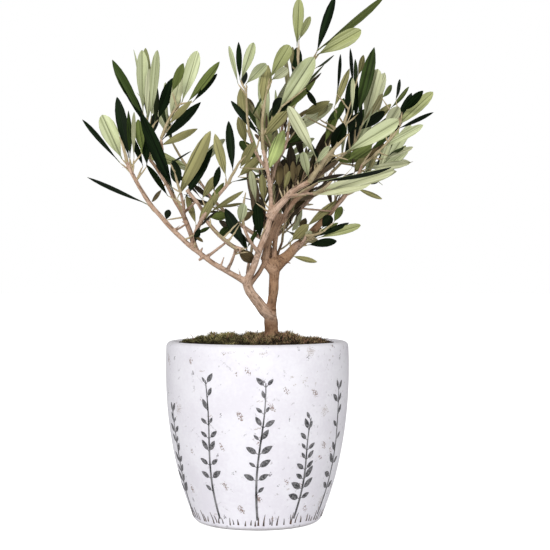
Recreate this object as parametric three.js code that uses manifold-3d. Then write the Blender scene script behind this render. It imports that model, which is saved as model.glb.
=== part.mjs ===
// An olive bonsai in a round white pot, with a mound of moss over its soil.
// Millimetres, +Z up. The origin is under the middle of the pot's flat underside, and the front faces -Y.
import * as THREE from 'three';
import { mergeVertices } from 'three/addons/utils/BufferGeometryUtils.js';
import Module from 'manifold-3d';

const wasm = await Module();
wasm.setup();

// Driving sizes of the pot and what fills it
const CLEARANCE = 0.3;
const POT_HEIGHT = 138;
const POT_RADIUS = 70.3;
const POT_WIDEST_AT = 118;
const POT_CURVE_REACH = 159;
const POT_FOOT_RADIUS = 42;
const POT_FOOT_ROUND = 6;
const POT_WALL = 9;
const POT_FLOOR = 10;
const POT_LIP = 4;
const POT_SEGMENTS = 40;
const OUTER_STEPS = 6;
const INNER_STEPS = 3;
const ROUND_STEPS = 3;
const SOIL_TOP = 135;
const MOSS_RADIUS = 59.5;
const MOSS_EDGE = 1.4;
const MOSS_HEIGHT = 7;
const MOSS_BUMP = 1.1;
const MOSS_RINGS = 4;

// The moss's bumps: a broad swell and a finer ripple, in radians for each millimetre of X and Y
const MOSS_SWELL = { x: 0.31, y: 0.27, shift: 1.3 };
const MOSS_RIPPLE = { x: 0.52, y: -0.44, share: 0.6 };

// Driving sizes of the wood
const GROUND = SOIL_TOP + CLEARANCE;
const TRUNK_FOOT = [10.5, 0, GROUND];
const TRUNK_FORK = [13.7, 0, 200.5];
const TRUNK_BOW = [-1.4, 0, 0];
const TRUNK_RADII = [5.2, 4.3];
const TRUNK_SIDES = 10;
const TRUNK_RINGS = 9;
const ROOT_FLARE = 3;
const ROOT_FLARE_REACH = 0.12;
const ROOT_LOBES = 5;
const ROOT_LOBE_DEPTH = 0.3;
const TAPER_REACH = 0.5;
const FORK_SWELL = 0.9;
const FORK_SWELL_POWER = 6;
const GROUND_CUT_WIDTH = 60;
const GROUND_CUT_DEPTH = 20;
const LIMB_SIDES = 7;
const LIMB_RINGS = 5;

// Each limb leaves another at a share of its length and runs to its own tip, bowed off the straight line.
// Radii are at its root and at its tip.
const LIMBS = {
  left_limb: {
    from: 'trunk', at: 0.33, radii: [4, 3.3],
    tip: [-8.7, -6, 182.3], bow: [-3, 0, -2],
  },
  left_bough: {
    from: 'left_limb', at: 0.95, radii: [3, 1.6],
    tip: [-99, -12, 274.3], bow: [-18, -1, -11.5],
  },
  left_upper_bough: {
    from: 'left_bough', at: 0.36, radii: [2.3, 1.4],
    tip: [-83.4, 8, 276], bow: [8, 4, 0],
  },
  left_inner_bough: {
    from: 'left_upper_bough', at: 0.8, radii: [1.5, 1.2],
    tip: [-73.3, -10, 292], bow: [2, -6, -3],
  },
  left_gap_bough: {
    from: 'left_upper_bough', at: 0.35, radii: [1.5, 1.2],
    tip: [-57, -26, 250], bow: [1, -5, -3],
  },
  left_mid_bough: {
    from: 'left_upper_bough', at: 0.1, radii: [2, 1.4],
    tip: [-21.6, -30, 256.3], bow: [-6, -6, 0],
  },
  middle_bough: {
    from: 'left_limb', at: 0.95, radii: [3.2, 2.7],
    tip: [10.5, -16, 236.1], bow: [-3, -2, 0],
  },
  middle_low_bough: {
    from: 'middle_bough', at: 0.42, radii: [1.6, 1.2],
    tip: [-10, -30, 226], bow: [-2, -5, -4],
  },
  inner_left_bough: {
    from: 'left_limb', at: 0.9, radii: [1.7, 1.2],
    tip: [-5, 14, 206], bow: [-2, 4, -3],
  },
  left_low_bough: {
    from: 'left_bough', at: 0.12, radii: [1.5, 1.1],
    tip: [-16.5, -28, 208], bow: [-3, -5, -2],
  },
  middle_left_bough: {
    from: 'middle_bough', at: 0.95, radii: [2.2, 1.4],
    tip: [4.5, -22, 282.5], bow: [4, -1, 0],
  },
  middle_right_bough: {
    from: 'middle_bough', at: 0.92, radii: [2.5, 1.8],
    tip: [38.9, -28, 258], bow: [1, -2, -2],
  },
  centre_left_bough: {
    from: 'middle_left_bough', at: 0.7, radii: [1.4, 1.1],
    tip: [-6, -7, 296.8], bow: [-3, 5, -3],
  },
  crown_bough: {
    from: 'middle_left_bough', at: 0.45, radii: [1.7, 1.3],
    tip: [19.7, 4, 309], bow: [2, 8, -4],
  },
  top_bough: {
    from: 'crown_bough', at: 0.4, radii: [1.4, 1.1],
    tip: [23.5, -16, 297], bow: [4, -5, -2],
  },
  right_bough: {
    from: 'trunk', at: 0.93, radii: [3.8, 1.7],
    tip: [68.4, 20, 251.1], bow: [0, 0, -5],
  },
  centre_bough: {
    from: 'trunk', at: 0.95, radii: [3.1, 1.9],
    tip: [46.1, 8, 260.5], bow: [-9, 4, 5],
  },
  right_low_bough: {
    from: 'right_bough', at: 0.3, radii: [1.7, 1.3],
    tip: [37.1, -12, 218.1], bow: [2, -4, -3],
  },
  right_upper_bough: {
    from: 'right_bough', at: 0.8, radii: [1.6, 1.2],
    tip: [80.2, -4, 272.7], bow: [3, -6, -4],
  },
  right_front_bough: {
    from: 'middle_right_bough', at: 0.45, radii: [1.6, 1.3],
    tip: [42, -42, 248], bow: [2, -6, -4],
  },
  inner_bough: {
    from: 'trunk', at: 0.97, radii: [1.9, 1.4],
    tip: [19, 20, 214], bow: [-1, 4, -3],
  },
  back_bough: {
    from: 'trunk', at: 0.9, radii: [2.9, 1.7],
    tip: [3, 46, 256.7], bow: [-2, 10, -8],
  },
  back_left_bough: {
    from: 'back_bough', at: 0.4, radii: [1.9, 1.3],
    tip: [-46, 44, 262], bow: [-4, 6, -10],
  },
  back_right_bough: {
    from: 'centre_bough', at: 0.45, radii: [1.9, 1.3],
    tip: [59.7, 54, 271.8], bow: [2, 8, -8],
  },
  back_low_bough: {
    from: 'back_bough', at: 0.4, radii: [1.6, 1.2],
    tip: [30, 50, 240], bow: [2, 6, -6],
  },
};

// Each spray is a leafy stem that grows on from a bough's tip. Leaf pairs stand crosswise up the stem,
// the first of them turned by roll, and the lowest nodes carry side twigs.
// Leaf is the length of a full-grown leaf.
const SPRAYS = {
  left_outer_spray: {
    on: 'left_bough', tip: [-104, -18, 293], bow: [1, 0, -1],
    pairs: 4, leaf: 40, spread: 40, roll: 30, twigs: 0, seed: 92,
  },
  left_crown_spray: {
    on: 'left_upper_bough', tip: [-86, 14, 318], bow: [-2, 0, 0],
    pairs: 5, leaf: 52, spread: 25, roll: 0, twigs: 0, seed: 60,
  },
  left_inner_spray: {
    on: 'left_inner_bough', tip: [-59, -20, 317], bow: [-2, 0, 2],
    pairs: 5, leaf: 42, spread: 35, roll: 30, twigs: 0, seed: 32,
  },
  left_gap_spray: {
    on: 'left_gap_bough', tip: [-61, -36, 265], bow: [-1, 0, 0],
    pairs: 3, leaf: 52, spread: 35, roll: 0, twigs: 0, seed: 52,
  },
  left_mid_spray: {
    on: 'left_mid_bough', tip: [-8, -46, 276], bow: [-2, 0, 2],
    pairs: 5, leaf: 40, spread: 50, roll: 15, twigs: 0, seed: 11,
  },
  middle_low_spray: {
    on: 'middle_low_bough', tip: [-8, -44, 249], bow: [-2, 0, -2],
    pairs: 4, leaf: 40, spread: 45, roll: 30, twigs: 0, seed: 8,
  },
  left_low_spray: {
    on: 'left_low_bough', tip: [-34, -44, 224], bow: [2, 0, -2],
    pairs: 4, leaf: 42, spread: 45, roll: 30, twigs: 0, seed: 41,
  },
  inner_left_spray: {
    on: 'inner_left_bough', tip: [-1, 26, 233], bow: [-1, 2, 0],
    pairs: 5, leaf: 38, spread: 45, roll: 0, twigs: 0, seed: 39,
  },
  centre_left_spray: {
    on: 'centre_left_bough', tip: [-8, -14, 330], bow: [-2, 0, 0],
    pairs: 5, leaf: 40, spread: 30, roll: 15, twigs: 0, seed: 96,
  },
  centre_up_spray: {
    on: 'middle_left_bough', tip: [8, -44, 325], bow: [-4, 0, 2],
    pairs: 6, leaf: 42, spread: 35, roll: 0, twigs: 1, seed: 67,
  },
  top_spray: {
    on: 'top_bough', tip: [31, -28, 344], bow: [-1, 0, 0],
    pairs: 5, leaf: 48, spread: 25, roll: 15, twigs: 0, seed: 50,
  },
  crown_spray: {
    on: 'crown_bough', tip: [48, 6, 360], bow: [-3, 0, 3],
    pairs: 5, leaf: 48, spread: 40, roll: 45, twigs: 0, seed: 83,
  },
  right_mid_spray: {
    on: 'middle_right_bough', tip: [68, -50, 292], bow: [-2, -3, 2],
    pairs: 5, leaf: 50, spread: 40, roll: 30, twigs: 0, seed: 34,
  },
  right_top_spray: {
    on: 'centre_bough', tip: [74, 20, 327], bow: [3, 0, -3],
    pairs: 6, leaf: 44, spread: 20, roll: 45, twigs: 1, seed: 17,
  },
  right_outer_spray: {
    on: 'right_bough', tip: [104, 36, 279], bow: [4, 0, -4],
    pairs: 6, leaf: 36, spread: 35, roll: 90, twigs: 1, seed: 81,
  },
  right_tip_spray: {
    on: 'right_upper_bough', tip: [109, -8, 302], bow: [3, 0, -3],
    pairs: 5, leaf: 40, spread: 35, roll: 45, twigs: 0, seed: 98,
  },
  right_low_spray: {
    on: 'right_low_bough', tip: [50, -28, 221], bow: [0, 0, -2],
    pairs: 4, leaf: 32, spread: 40, roll: 75, twigs: 0, seed: 31,
  },
  right_front_spray: {
    on: 'right_front_bough', tip: [56, -64, 258], bow: [1, -2, -2],
    pairs: 4, leaf: 54, spread: 35, roll: 60, twigs: 0, seed: 25,
  },
  inner_spray: {
    on: 'inner_bough', tip: [26, 32, 246], bow: [-2, 2, 0],
    pairs: 5, leaf: 48, spread: 40, roll: 45, twigs: 1, seed: 40,
  },
  back_centre_spray: {
    on: 'back_bough', tip: [8, 80, 319], bow: [0, 8, -4],
    pairs: 6, leaf: 46, spread: 45, roll: 60, twigs: 2, seed: 84,
  },
  back_left_spray: {
    on: 'back_left_bough', tip: [-74, 72, 304], bow: [-3, 4, -3],
    pairs: 6, leaf: 46, spread: 30, roll: 75, twigs: 1, seed: 63,
  },
  back_right_spray: {
    on: 'back_right_bough', tip: [88, 84, 313], bow: [3, 4, -4],
    pairs: 6, leaf: 46, spread: 25, roll: 15, twigs: 1, seed: 25,
  },
  back_low_spray: {
    on: 'back_low_bough', tip: [39, 88, 275], bow: [2, 3, -4],
    pairs: 5, leaf: 50, spread: 45, roll: 45, twigs: 1, seed: 12,
  },
};

// The growing rule: where leaves and twigs stand on a stem, in shares of its length, degrees and millimetres
const FIRST_NODE = 0.22;
const TWIG_LENGTH = 0.45;
const TWIG_SHORTEST = 0.8;
const TWIG_VARIES = 0.5;
const TWIG_FOLLOW = 0.25;
const TWIG_BOW = 0.1;
const TWIG_SPREAD = 46;
const TWIG_PAIRS = 3;
const TWIG_TIP_RADIUS = 0.75;
const STEM_STEP = 0.9;
const TWIG_STEP = 0.75;
const ROLL_JITTER = 36;
const SPREAD_JITTER = 14;
const SPREAD_AT_TIP = 0.6;
const SPREAD_AT_ROOT = 1.3;
const LENGTH_JITTER = 0.24;
const LIFT = 0.16;
const FACE_TURN = 120;
const LEAF_BEND = 0.22;
const BENDS_BACK = 0.6;
const LEAF_WIDTH = 0.2;
const LEAF_TRIES = 6;
const SEEDS_PER_SPRAY = 4096;
const SEEDS_PER_SEAT = 16;
const STEM_RINGS = 4;
const TWIG_RINGS = 2;
const TWIG_SIDES = 3;
const STEEP_ALONG_Y = 0.75;

// A leaf's outline, and its rings: how far along it, and the share of its full half width there
const LEAF_WIDEST_POWER = 1.15;
const LEAF_FULLNESS = 0.8;
const LEAF_RINGS = [
  { along: 0.36, wide: 0.9 },
  { along: 0.76, wide: 0.84 },
];
const LEAF_THICKNESS = 0.02;
const LEAF_FOLD = 0.2;
const LEAF_ROOT_DEPTH = 0.35;

// How near a leaf may come to wood, to leaves of its own spray and to those of others
const WOOD_ROOM = 1.4;
const OWN_ROOM = 1.3;
const OTHER_ROOM = 3.1;
const CROWDED_ROOT = 0.3;
const SAMPLE_STEPS = 12;
const SAMPLE_ACROSS = [-0.85, 0, 0.85];
const WOOD_STEPS = 24;
const FARTHEST_LEAVES = 120;

// Numbers nearer than this are the same
const MERGE_WITHIN = 1e-4;
const AT_END = 1e-6;

const vector = (point) => new THREE.Vector3(...point);
const mix = (a, b, share) => a + (b - a) * share;

// A repeatable run of numbers from 0 to 1.
function seededRandom(seed) {
  let state = seed;
  return () => {
    state = (state + 0x6d2b79f5) >>> 0;
    let word = Math.imul(state ^ (state >>> 15), state | 1);
    word ^= word + Math.imul(word ^ (word >>> 7), word | 61);
    return ((word ^ (word >>> 14)) >>> 0) / 4294967296;
  };
}

// A closed geometry as a solid that can be joined and cut.
function toSolid(geometry) {
  const bare = geometry.clone();
  bare.deleteAttribute('normal');
  bare.deleteAttribute('uv');
  const merged = mergeVertices(bare, MERGE_WITHIN);
  return new wasm.Manifold(
    new wasm.Mesh({
      numProp: 3,
      vertProperties: merged.attributes.position.array,
      triVerts: new Uint32Array(merged.index.array),
    }),
  );
}

// The largest body of a solid as a geometry: scraps that a cut leaves are dropped.
function toGeometry(solid) {
  const largest = solid.decompose().sort((a, b) => b.volume() - a.volume())[0];
  const mesh = largest.getMesh();
  const geometry = new THREE.BufferGeometry();
  geometry.setAttribute('position', new THREE.BufferAttribute(mesh.vertProperties, 3));
  geometry.setIndex(new THREE.BufferAttribute(mesh.triVerts, 1));
  geometry.computeVertexNormals();
  return geometry;
}

// The pot's outer radius at a height: the upper part of an upright ellipse.
function potRadius(height) {
  return POT_RADIUS * Math.sqrt(1 - ((POT_WIDEST_AT - height) / POT_CURVE_REACH) ** 2);
}

// A body of revolution about Z from a profile of radius and height.
function turned(profile) {
  const points = profile.map(([radius, height]) => new THREE.Vector2(radius, height));
  return new THREE.LatheGeometry(points, POT_SEGMENTS).rotateX(Math.PI / 2);
}

// Angles through a quarter turn, for a round between two straight stretches.
const quarterTurn = Array.from({ length: ROUND_STEPS + 1 }, (_, i) => ((Math.PI / 2) * i) / ROUND_STEPS);

// Heights at which the inside of the pot and the soil in it both have a ring.
const innerHeights = Array.from({ length: INNER_STEPS + 1 }, (_, i) =>
  mix(POT_FLOOR, POT_HEIGHT - POT_LIP, i / INNER_STEPS),
);

function potGeometry() {
  const shoulder = POT_HEIGHT - POT_LIP;
  const footReach = potRadius(POT_FOOT_ROUND) - POT_FOOT_RADIUS;
  const outer = potRadius(shoulder);
  const crest = outer - POT_WALL / 2;
  const profile = [[0, 0]];
  for (const turn of quarterTurn) {
    profile.push([POT_FOOT_RADIUS + footReach * Math.sin(turn), POT_FOOT_ROUND * (1 - Math.cos(turn))]);
  }
  for (let i = 1; i <= OUTER_STEPS; i += 1) {
    const height = mix(POT_FOOT_ROUND, shoulder, i / OUTER_STEPS);
    profile.push([potRadius(height), height]);
  }
  for (const turn of quarterTurn.slice(1)) {
    profile.push([crest + (POT_WALL / 2) * Math.cos(turn), shoulder + POT_LIP * Math.sin(turn)]);
  }
  for (const turn of quarterTurn.slice(1)) {
    profile.push([crest - (POT_WALL / 2) * Math.sin(turn), shoulder + POT_LIP * Math.cos(turn)]);
  }
  for (const height of innerHeights.slice(0, -1).reverse()) {
    profile.push([potRadius(height) - POT_WALL, height]);
  }
  profile.push([0, POT_FLOOR]);
  return turned(profile);
}

function soilGeometry() {
  const profile = [[0, POT_FLOOR + CLEARANCE]];
  for (const height of innerHeights) {
    const lifted = Math.max(height, POT_FLOOR + CLEARANCE);
    profile.push([potRadius(height) - POT_WALL - CLEARANCE, lifted]);
  }
  profile.push([potRadius(innerHeights.at(-1)) - POT_WALL - CLEARANCE, SOIL_TOP], [0, SOIL_TOP]);
  return turned(profile);
}

function mossBump(x, y) {
  const swell = Math.sin(MOSS_SWELL.x * x + MOSS_SWELL.shift) * Math.cos(MOSS_SWELL.y * y);
  return MOSS_BUMP * (swell + MOSS_RIPPLE.share * Math.sin(MOSS_RIPPLE.x * x + MOSS_RIPPLE.y * y));
}

// Moss: a low mound with soft bumps, open round the trunk's foot.
function mossGeometry(trunkClearance) {
  const profile = [[0, GROUND], [MOSS_RADIUS, GROUND]];
  for (let i = 0; i <= MOSS_RINGS; i += 1) {
    const reach = 1 - i / MOSS_RINGS;
    profile.push([MOSS_RADIUS * reach, GROUND + MOSS_EDGE + MOSS_HEIGHT * (1 - reach ** 2)]);
  }
  const geometry = turned(profile);
  const place = geometry.attributes.position;
  for (let i = 0; i < place.count; i += 1) {
    const [x, y, z] = [place.getX(i), place.getY(i), place.getZ(i)];
    if (z > GROUND + CLEARANCE) place.setZ(i, z + mossBump(x, y));
  }
  return toGeometry(toSolid(geometry).subtract(trunkClearance));
}

// A limb's middle line: a start, a tip and a bow off the straight line between them.
function limbCurve(start, tip, bow) {
  const middle = start.clone().add(tip).multiplyScalar(0.5).add(bow);
  return new THREE.QuadraticBezierCurve3(start, middle, tip);
}

// Two directions square to a curve at a share of it.
// The first lies in the X-Z plane, unless the curve runs along Y.
function across(curve, share) {
  const chord = curve.v2.clone().sub(curve.v0).normalize();
  const reference = vector(Math.abs(chord.y) > STEEP_ALONG_Y ? [1, 0, 0] : [0, 1, 0]);
  const tangent = curve.getTangent(share);
  const side = new THREE.Vector3().crossVectors(reference, tangent).normalize();
  return [side, new THREE.Vector3().crossVectors(tangent, side)];
}

// A cylinder whose rings are carried along a curve, each at its own radius, swollen all round by a gap.
function limbGeometry(curve, radiusAt, sides, rings, swell = 0) {
  const geometry = new THREE.CylinderGeometry(1, 1, 1, sides, rings);
  const place = geometry.attributes.position;
  for (let i = 0; i < place.count; i += 1) {
    const share = place.getY(i) + 0.5;
    const tangent = curve.getTangent(share);
    const [side, other] = across(curve, share);
    const turn = Math.atan2(place.getZ(i), place.getX(i));
    const spoke = Math.hypot(place.getX(i), place.getZ(i)) * (radiusAt(share, turn) + swell);
    const past = swell * (Number(share > 1 - AT_END) - Number(share < AT_END));
    const point = curve.getPoint(share).addScaledVector(tangent, past);
    point.addScaledVector(side, spoke * Math.cos(turn)).addScaledVector(other, -spoke * Math.sin(turn));
    place.setXYZ(i, point.x, point.y, point.z);
  }
  return geometry;
}

// The trunk's radius: a steady taper, root lobes that flare at the ground and a swelling under the fork.
function trunkRadius(share, turn) {
  const lobes = 1 + ROOT_LOBE_DEPTH * Math.cos(ROOT_LOBES * turn);
  const flare = ROOT_FLARE * Math.exp(-share / ROOT_FLARE_REACH) * lobes;
  const taper = mix(...TRUNK_RADII, Math.min(1, share / TAPER_REACH));
  return taper + flare + FORK_SWELL * share ** FORK_SWELL_POWER;
}

function trunkLimb() {
  const curve = limbCurve(vector(TRUNK_FOOT), vector(TRUNK_FORK), vector(TRUNK_BOW));
  const below = new THREE.BoxGeometry(GROUND_CUT_WIDTH, GROUND_CUT_WIDTH, GROUND_CUT_DEPTH);
  below.translate(TRUNK_FOOT[0], TRUNK_FOOT[1], GROUND - GROUND_CUT_DEPTH / 2);
  const tube = (swell) => toSolid(limbGeometry(curve, trunkRadius, TRUNK_SIDES, TRUNK_RINGS, swell));
  return { curve, radiusAt: trunkRadius, solid: tube(0).subtract(toSolid(below)), room: tube(CLEARANCE) };
}

// Every limb as a solid, each cut clear of the ones before it.
function growLimbs() {
  const limbs = { trunk: trunkLimb() };
  for (const [name, { from, at, tip, bow, radii }] of Object.entries(LIMBS)) {
    const curve = limbCurve(limbs[from].curve.getPoint(at), vector(tip), vector(bow));
    const radiusAt = (share) => mix(...radii, share);
    const tube = (swell) => toSolid(limbGeometry(curve, radiusAt, LIMB_SIDES, LIMB_RINGS, swell));
    const solid = Object.values(limbs).reduce((left, limb) => left.subtract(limb.room), tube(0));
    limbs[name] = { curve, radiusAt, solid, room: tube(CLEARANCE) };
  }
  return limbs;
}

// A direction square to a curve, at a turn round it.
function spokeAt(curve, share, degrees) {
  const [side, other] = across(curve, share);
  const turn = THREE.MathUtils.degToRad(degrees);
  return side.multiplyScalar(Math.cos(turn)).addScaledVector(other, Math.sin(turn));
}

// A direction that leans from the tangent towards a spoke.
function leaning(tangent, spoke, degrees) {
  const lean = THREE.MathUtils.degToRad(degrees);
  return tangent.clone().multiplyScalar(Math.cos(lean)).addScaledVector(spoke, Math.sin(lean));
}

// One spray's stem and twigs, and the seats on them where leaves may stand.
function growSpray(name, limbs) {
  const spec = SPRAYS[name];
  const random = seededRandom(spec.seed);
  const host = limbs[spec.on];
  const start = host.curve.getPoint(1).addScaledVector(host.curve.getTangent(1), CLEARANCE);
  const stem = {
    curve: limbCurve(start, vector(spec.tip), vector(spec.bow)),
    radii: [host.radiusAt(1) * STEM_STEP, TWIG_TIP_RADIUS],
    rings: STEM_RINGS,
  };
  const twigs = [stem];
  const seats = [];

  // Crosswise pairs up one stem. A node carries two leaves or, low on the main stem, a leaf and a twig.
  function climb(line, pairs, twigCount) {
    for (let node = 0; node < pairs; node += 1) {
      const share = mix(FIRST_NODE, 1, node / (pairs - 1));
      const tangent = line.curve.getTangent(share);
      const roll = spec.roll + 90 * node + (random() - 0.5) * ROLL_JITTER;
      for (const side of [0, 180]) {
        const spoke = spokeAt(line.curve, share, roll + side);
        const root = line.curve.getPoint(share);
        if (node < twigCount && side === 180 * (node % 2)) {
          const length = TWIG_LENGTH * line.curve.getLength() * (TWIG_SHORTEST + TWIG_VARIES * random());
          const aim = leaning(tangent, spoke, TWIG_SPREAD).addScaledVector(tangent, TWIG_FOLLOW);
          const tip = root.clone().addScaledVector(aim, length);
          const bow = spoke.clone().multiplyScalar(length * TWIG_BOW);
          const radii = [mix(...line.radii, share) * TWIG_STEP, TWIG_TIP_RADIUS];
          const twig = { curve: limbCurve(root, tip, bow), radii, rings: TWIG_RINGS };
          twigs.push(twig);
          climb(twig, TWIG_PAIRS, 0);
        } else {
          seats.push({ number: seats.length, root, tangent, spoke, age: 1 - share });
        }
      }
    }
  }
  climb(stem, spec.pairs, spec.twigs);
  return { name, spec, twigs, seats, leaves: [] };
}

// One leaf on its seat: its upper face turns to the stem's tip, and it bends along its length.
function leafOn(seat, spec, attempt) {
  const random = seededRandom(spec.seed * SEEDS_PER_SPRAY + seat.number * SEEDS_PER_SEAT + attempt);
  const opening = spec.spread * mix(SPREAD_AT_TIP, SPREAD_AT_ROOT, seat.age);
  const lean = opening + (random() - 0.5) * SPREAD_JITTER;
  const aim = leaning(seat.tangent, seat.spoke, lean);
  aim.z += LIFT;
  aim.normalize();
  const length = spec.leaf * (1 + (random() - 0.5) * LENGTH_JITTER);
  const turn = THREE.MathUtils.degToRad((random() - 0.5) * FACE_TURN);
  const face = seat.tangent.clone().addScaledVector(aim, -seat.tangent.dot(aim)).normalize();
  face.applyAxisAngle(aim, turn);
  const edge = new THREE.Vector3().crossVectors(aim, face);
  const bend = (random() - BENDS_BACK) * LEAF_BEND;
  return { root: seat.root, aim, face, edge, length, bend, width: LEAF_WIDTH * length };
}

// A point of a leaf: along it from root to tip, across it from edge to edge and up off its middle.
function leafPoint(leaf, along, sideways, up) {
  const reach = leaf.length * along;
  return leaf.root
    .clone()
    .addScaledVector(leaf.aim, reach)
    .addScaledVector(leaf.face, leaf.bend * reach * along + up)
    .addScaledVector(leaf.edge, sideways);
}

// A leaf's share of its full half width: narrow at its stalk, widest at the middle and drawn to a point.
const leafOutline = (along) => Math.sin(Math.PI * along ** LEAF_WIDEST_POWER) ** LEAF_FULLNESS;

function leafSamples(leaf) {
  const samples = [];
  for (let step = 1; step <= SAMPLE_STEPS; step += 1) {
    const along = step / SAMPLE_STEPS;
    const half = (leaf.width / 2) * leafOutline(Math.min(along, 1 - AT_END));
    for (const share of SAMPLE_ACROSS) {
      const up = LEAF_FOLD * half * Math.abs(share);
      samples.push({ along, point: leafPoint(leaf, along, share * half, up) });
    }
  }
  return samples;
}

// Wood as a row of points with a radius.
function woodSamples(curve, radiusAt) {
  return Array.from({ length: WOOD_STEPS + 1 }, (_, i) => {
    const share = i / WOOD_STEPS;
    return { point: curve.getPoint(share), radius: radiusAt(share, 0) };
  });
}

// Whether a leaf would touch wood or another leaf.
function isCrowded(samples, spray, wood, sprays) {
  const touchesWood = samples.some(({ along, point }) =>
    wood.some(
      (bit) =>
        (along > CROWDED_ROOT || bit.owner !== spray.name) &&
        point.distanceTo(bit.point) < bit.radius + WOOD_ROOM,
    ),
  );
  if (touchesWood) return true;
  return sprays.some((other) => {
    const own = other === spray;
    const room = own ? OWN_ROOM : OTHER_ROOM;
    const first = own ? CROWDED_ROOT : 0;
    return other.leaves.some(
      (leaf) =>
        leaf.root.distanceTo(samples[0].point) < FARTHEST_LEAVES &&
        samples.some(
          (sample) =>
            sample.along > first &&
            leaf.samples.some((near) => near.along > first && near.point.distanceTo(sample.point) < room),
        ),
    );
  });
}

// Sprays grown together, so that each leaf keeps clear of all the wood and of the leaves before it.
function growSprays(limbs) {
  const sprays = Object.keys(SPRAYS).map((name) => growSpray(name, limbs));
  const wood = Object.values(limbs).flatMap((limb) => woodSamples(limb.curve, limb.radiusAt));
  for (const spray of sprays) {
    for (const twig of spray.twigs) {
      const samples = woodSamples(twig.curve, (share) => mix(...twig.radii, share));
      wood.push(...samples.map((bit) => ({ ...bit, owner: spray.name })));
    }
  }
  for (const spray of sprays) {
    for (const seat of spray.seats) {
      for (let attempt = 0; attempt < LEAF_TRIES; attempt += 1) {
        const leaf = leafOn(seat, spray.spec, attempt);
        leaf.samples = leafSamples(leaf);
        if (isCrowded(leaf.samples, spray, wood, sprays)) continue;
        spray.leaves.push(leaf);
        break;
      }
    }
  }
  return sprays;
}

// A thin folded blade: a four-sided ball drawn out along the leaf, its first ring sunk in the twig.
function leafGeometry(leaf) {
  const rows = LEAF_RINGS.length + 1;
  const geometry = new THREE.SphereGeometry(1, 4, rows);
  const place = geometry.attributes.position;
  for (let i = 0; i < place.count; i += 1) {
    const row = Math.round((Math.acos(THREE.MathUtils.clamp(place.getY(i), -1, 1)) / Math.PI) * rows);
    const ring = LEAF_RINGS[row - 1];
    let point = leafPoint(leaf, row === 0 ? -LEAF_ROOT_DEPTH / leaf.length : 1, 0, 0);
    if (ring) {
      const girth = Math.sin((Math.PI * row) / rows);
      const half = (leaf.width / 2) * ring.wide * Math.round(-place.getX(i) / girth);
      const rise = Math.round(place.getZ(i) / girth);
      const up = LEAF_FOLD * Math.abs(half) + (rise * LEAF_THICKNESS * leaf.length) / 2;
      point = leafPoint(leaf, ring.along, half, up);
    }
    place.setXYZ(i, point.x, point.y, point.z);
  }
  return geometry;
}

// Twigs and leaves fused into one body, cut clear of the limb that it grows from.
function sprayGeometry(spray, host) {
  const wood = spray.twigs.map((twig) =>
    limbGeometry(twig.curve, (share) => mix(...twig.radii, share), TWIG_SIDES, twig.rings),
  );
  const solids = [...wood, ...spray.leaves.map(leafGeometry)].map(toSolid);
  return toGeometry(wasm.Manifold.union(solids).subtract(host.room));
}

const finish = (color, roughness) => new THREE.MeshStandardMaterial({ color, roughness, metalness: 0 });
const glaze = finish(0xeeecf2, 0.35);
const earth = finish(0x3a2c20, 0.95);
const greenMoss = finish(0x55522e, 0.95);
const bark = finish(0x9a7d63, 0.85);
const paleBark = finish(0xbfa78f, 0.8);
const foliage = finish(0x8a9a66, 0.6);

const bonsai = new THREE.Group();
function add(name, geometry, material) {
  const mesh = new THREE.Mesh(geometry, material);
  mesh.name = name;
  bonsai.add(mesh);
}

const limbs = growLimbs();
add('pot', potGeometry(), glaze);
add('soil', soilGeometry(), earth);
add('moss', mossGeometry(limbs.trunk.room), greenMoss);
for (const [name, limb] of Object.entries(limbs)) {
  add(name, toGeometry(limb.solid), name === 'trunk' ? bark : paleBark);
}
for (const spray of growSprays(limbs)) {
  add(spray.name, sprayGeometry(spray, limbs[spray.spec.on]), foliage);
}

export default bonsai;
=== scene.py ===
"""An olive bonsai in a white pot: bark, twigs, leaves, moss and glaze modelled round its solid frame."""
import functools
import math
from typing import NamedTuple

import bpy
import numpy as np
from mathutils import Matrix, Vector, noise
from mathutils.bvhtree import BVHTree
from mathutils.kdtree import KDTree


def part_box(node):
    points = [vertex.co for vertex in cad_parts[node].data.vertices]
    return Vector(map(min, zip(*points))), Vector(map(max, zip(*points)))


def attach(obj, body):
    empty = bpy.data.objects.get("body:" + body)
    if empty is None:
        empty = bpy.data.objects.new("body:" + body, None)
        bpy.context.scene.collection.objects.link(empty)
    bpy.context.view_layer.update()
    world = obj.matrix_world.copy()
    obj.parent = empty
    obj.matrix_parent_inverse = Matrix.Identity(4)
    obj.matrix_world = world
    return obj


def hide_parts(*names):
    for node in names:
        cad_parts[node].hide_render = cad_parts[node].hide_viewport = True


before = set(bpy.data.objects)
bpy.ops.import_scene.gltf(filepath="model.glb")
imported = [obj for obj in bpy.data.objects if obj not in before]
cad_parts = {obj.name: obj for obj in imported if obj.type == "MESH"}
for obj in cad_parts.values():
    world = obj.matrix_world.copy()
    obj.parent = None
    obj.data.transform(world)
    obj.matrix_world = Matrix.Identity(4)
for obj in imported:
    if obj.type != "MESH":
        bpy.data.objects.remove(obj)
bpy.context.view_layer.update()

bl_info = {
    "name": "Olive Bonsai",
    "version": (1, 0, 0),
    "blender": (4, 5, 0),
    "location": "3D View > Sidebar > Bonsai",
    "description": "Models an olive bonsai with its pot, moss, bark and leaves",
    "category": "Add Mesh",
}

BODY = "root"
MM = 0.001

# The pot, in millimetres, as its solid is turned
POT_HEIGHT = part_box("pot")[1][2] / MM
POT_RADIUS = 70.3
POT_WIDEST_AT = 118
POT_CURVE_REACH = 159
POT_FOOT_RADIUS = 42
POT_FOOT_ROUND = 6
POT_WALL = 9
POT_FLOOR = 10
POT_LIP = 4
CLEARANCE = 0.3
SOIL_TOP = 135
GROUND = SOIL_TOP + CLEARANCE
MOSS_RADIUS = 59.5
MOSS_EDGE = 1.4
MOSS_HEIGHT = 7

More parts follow.
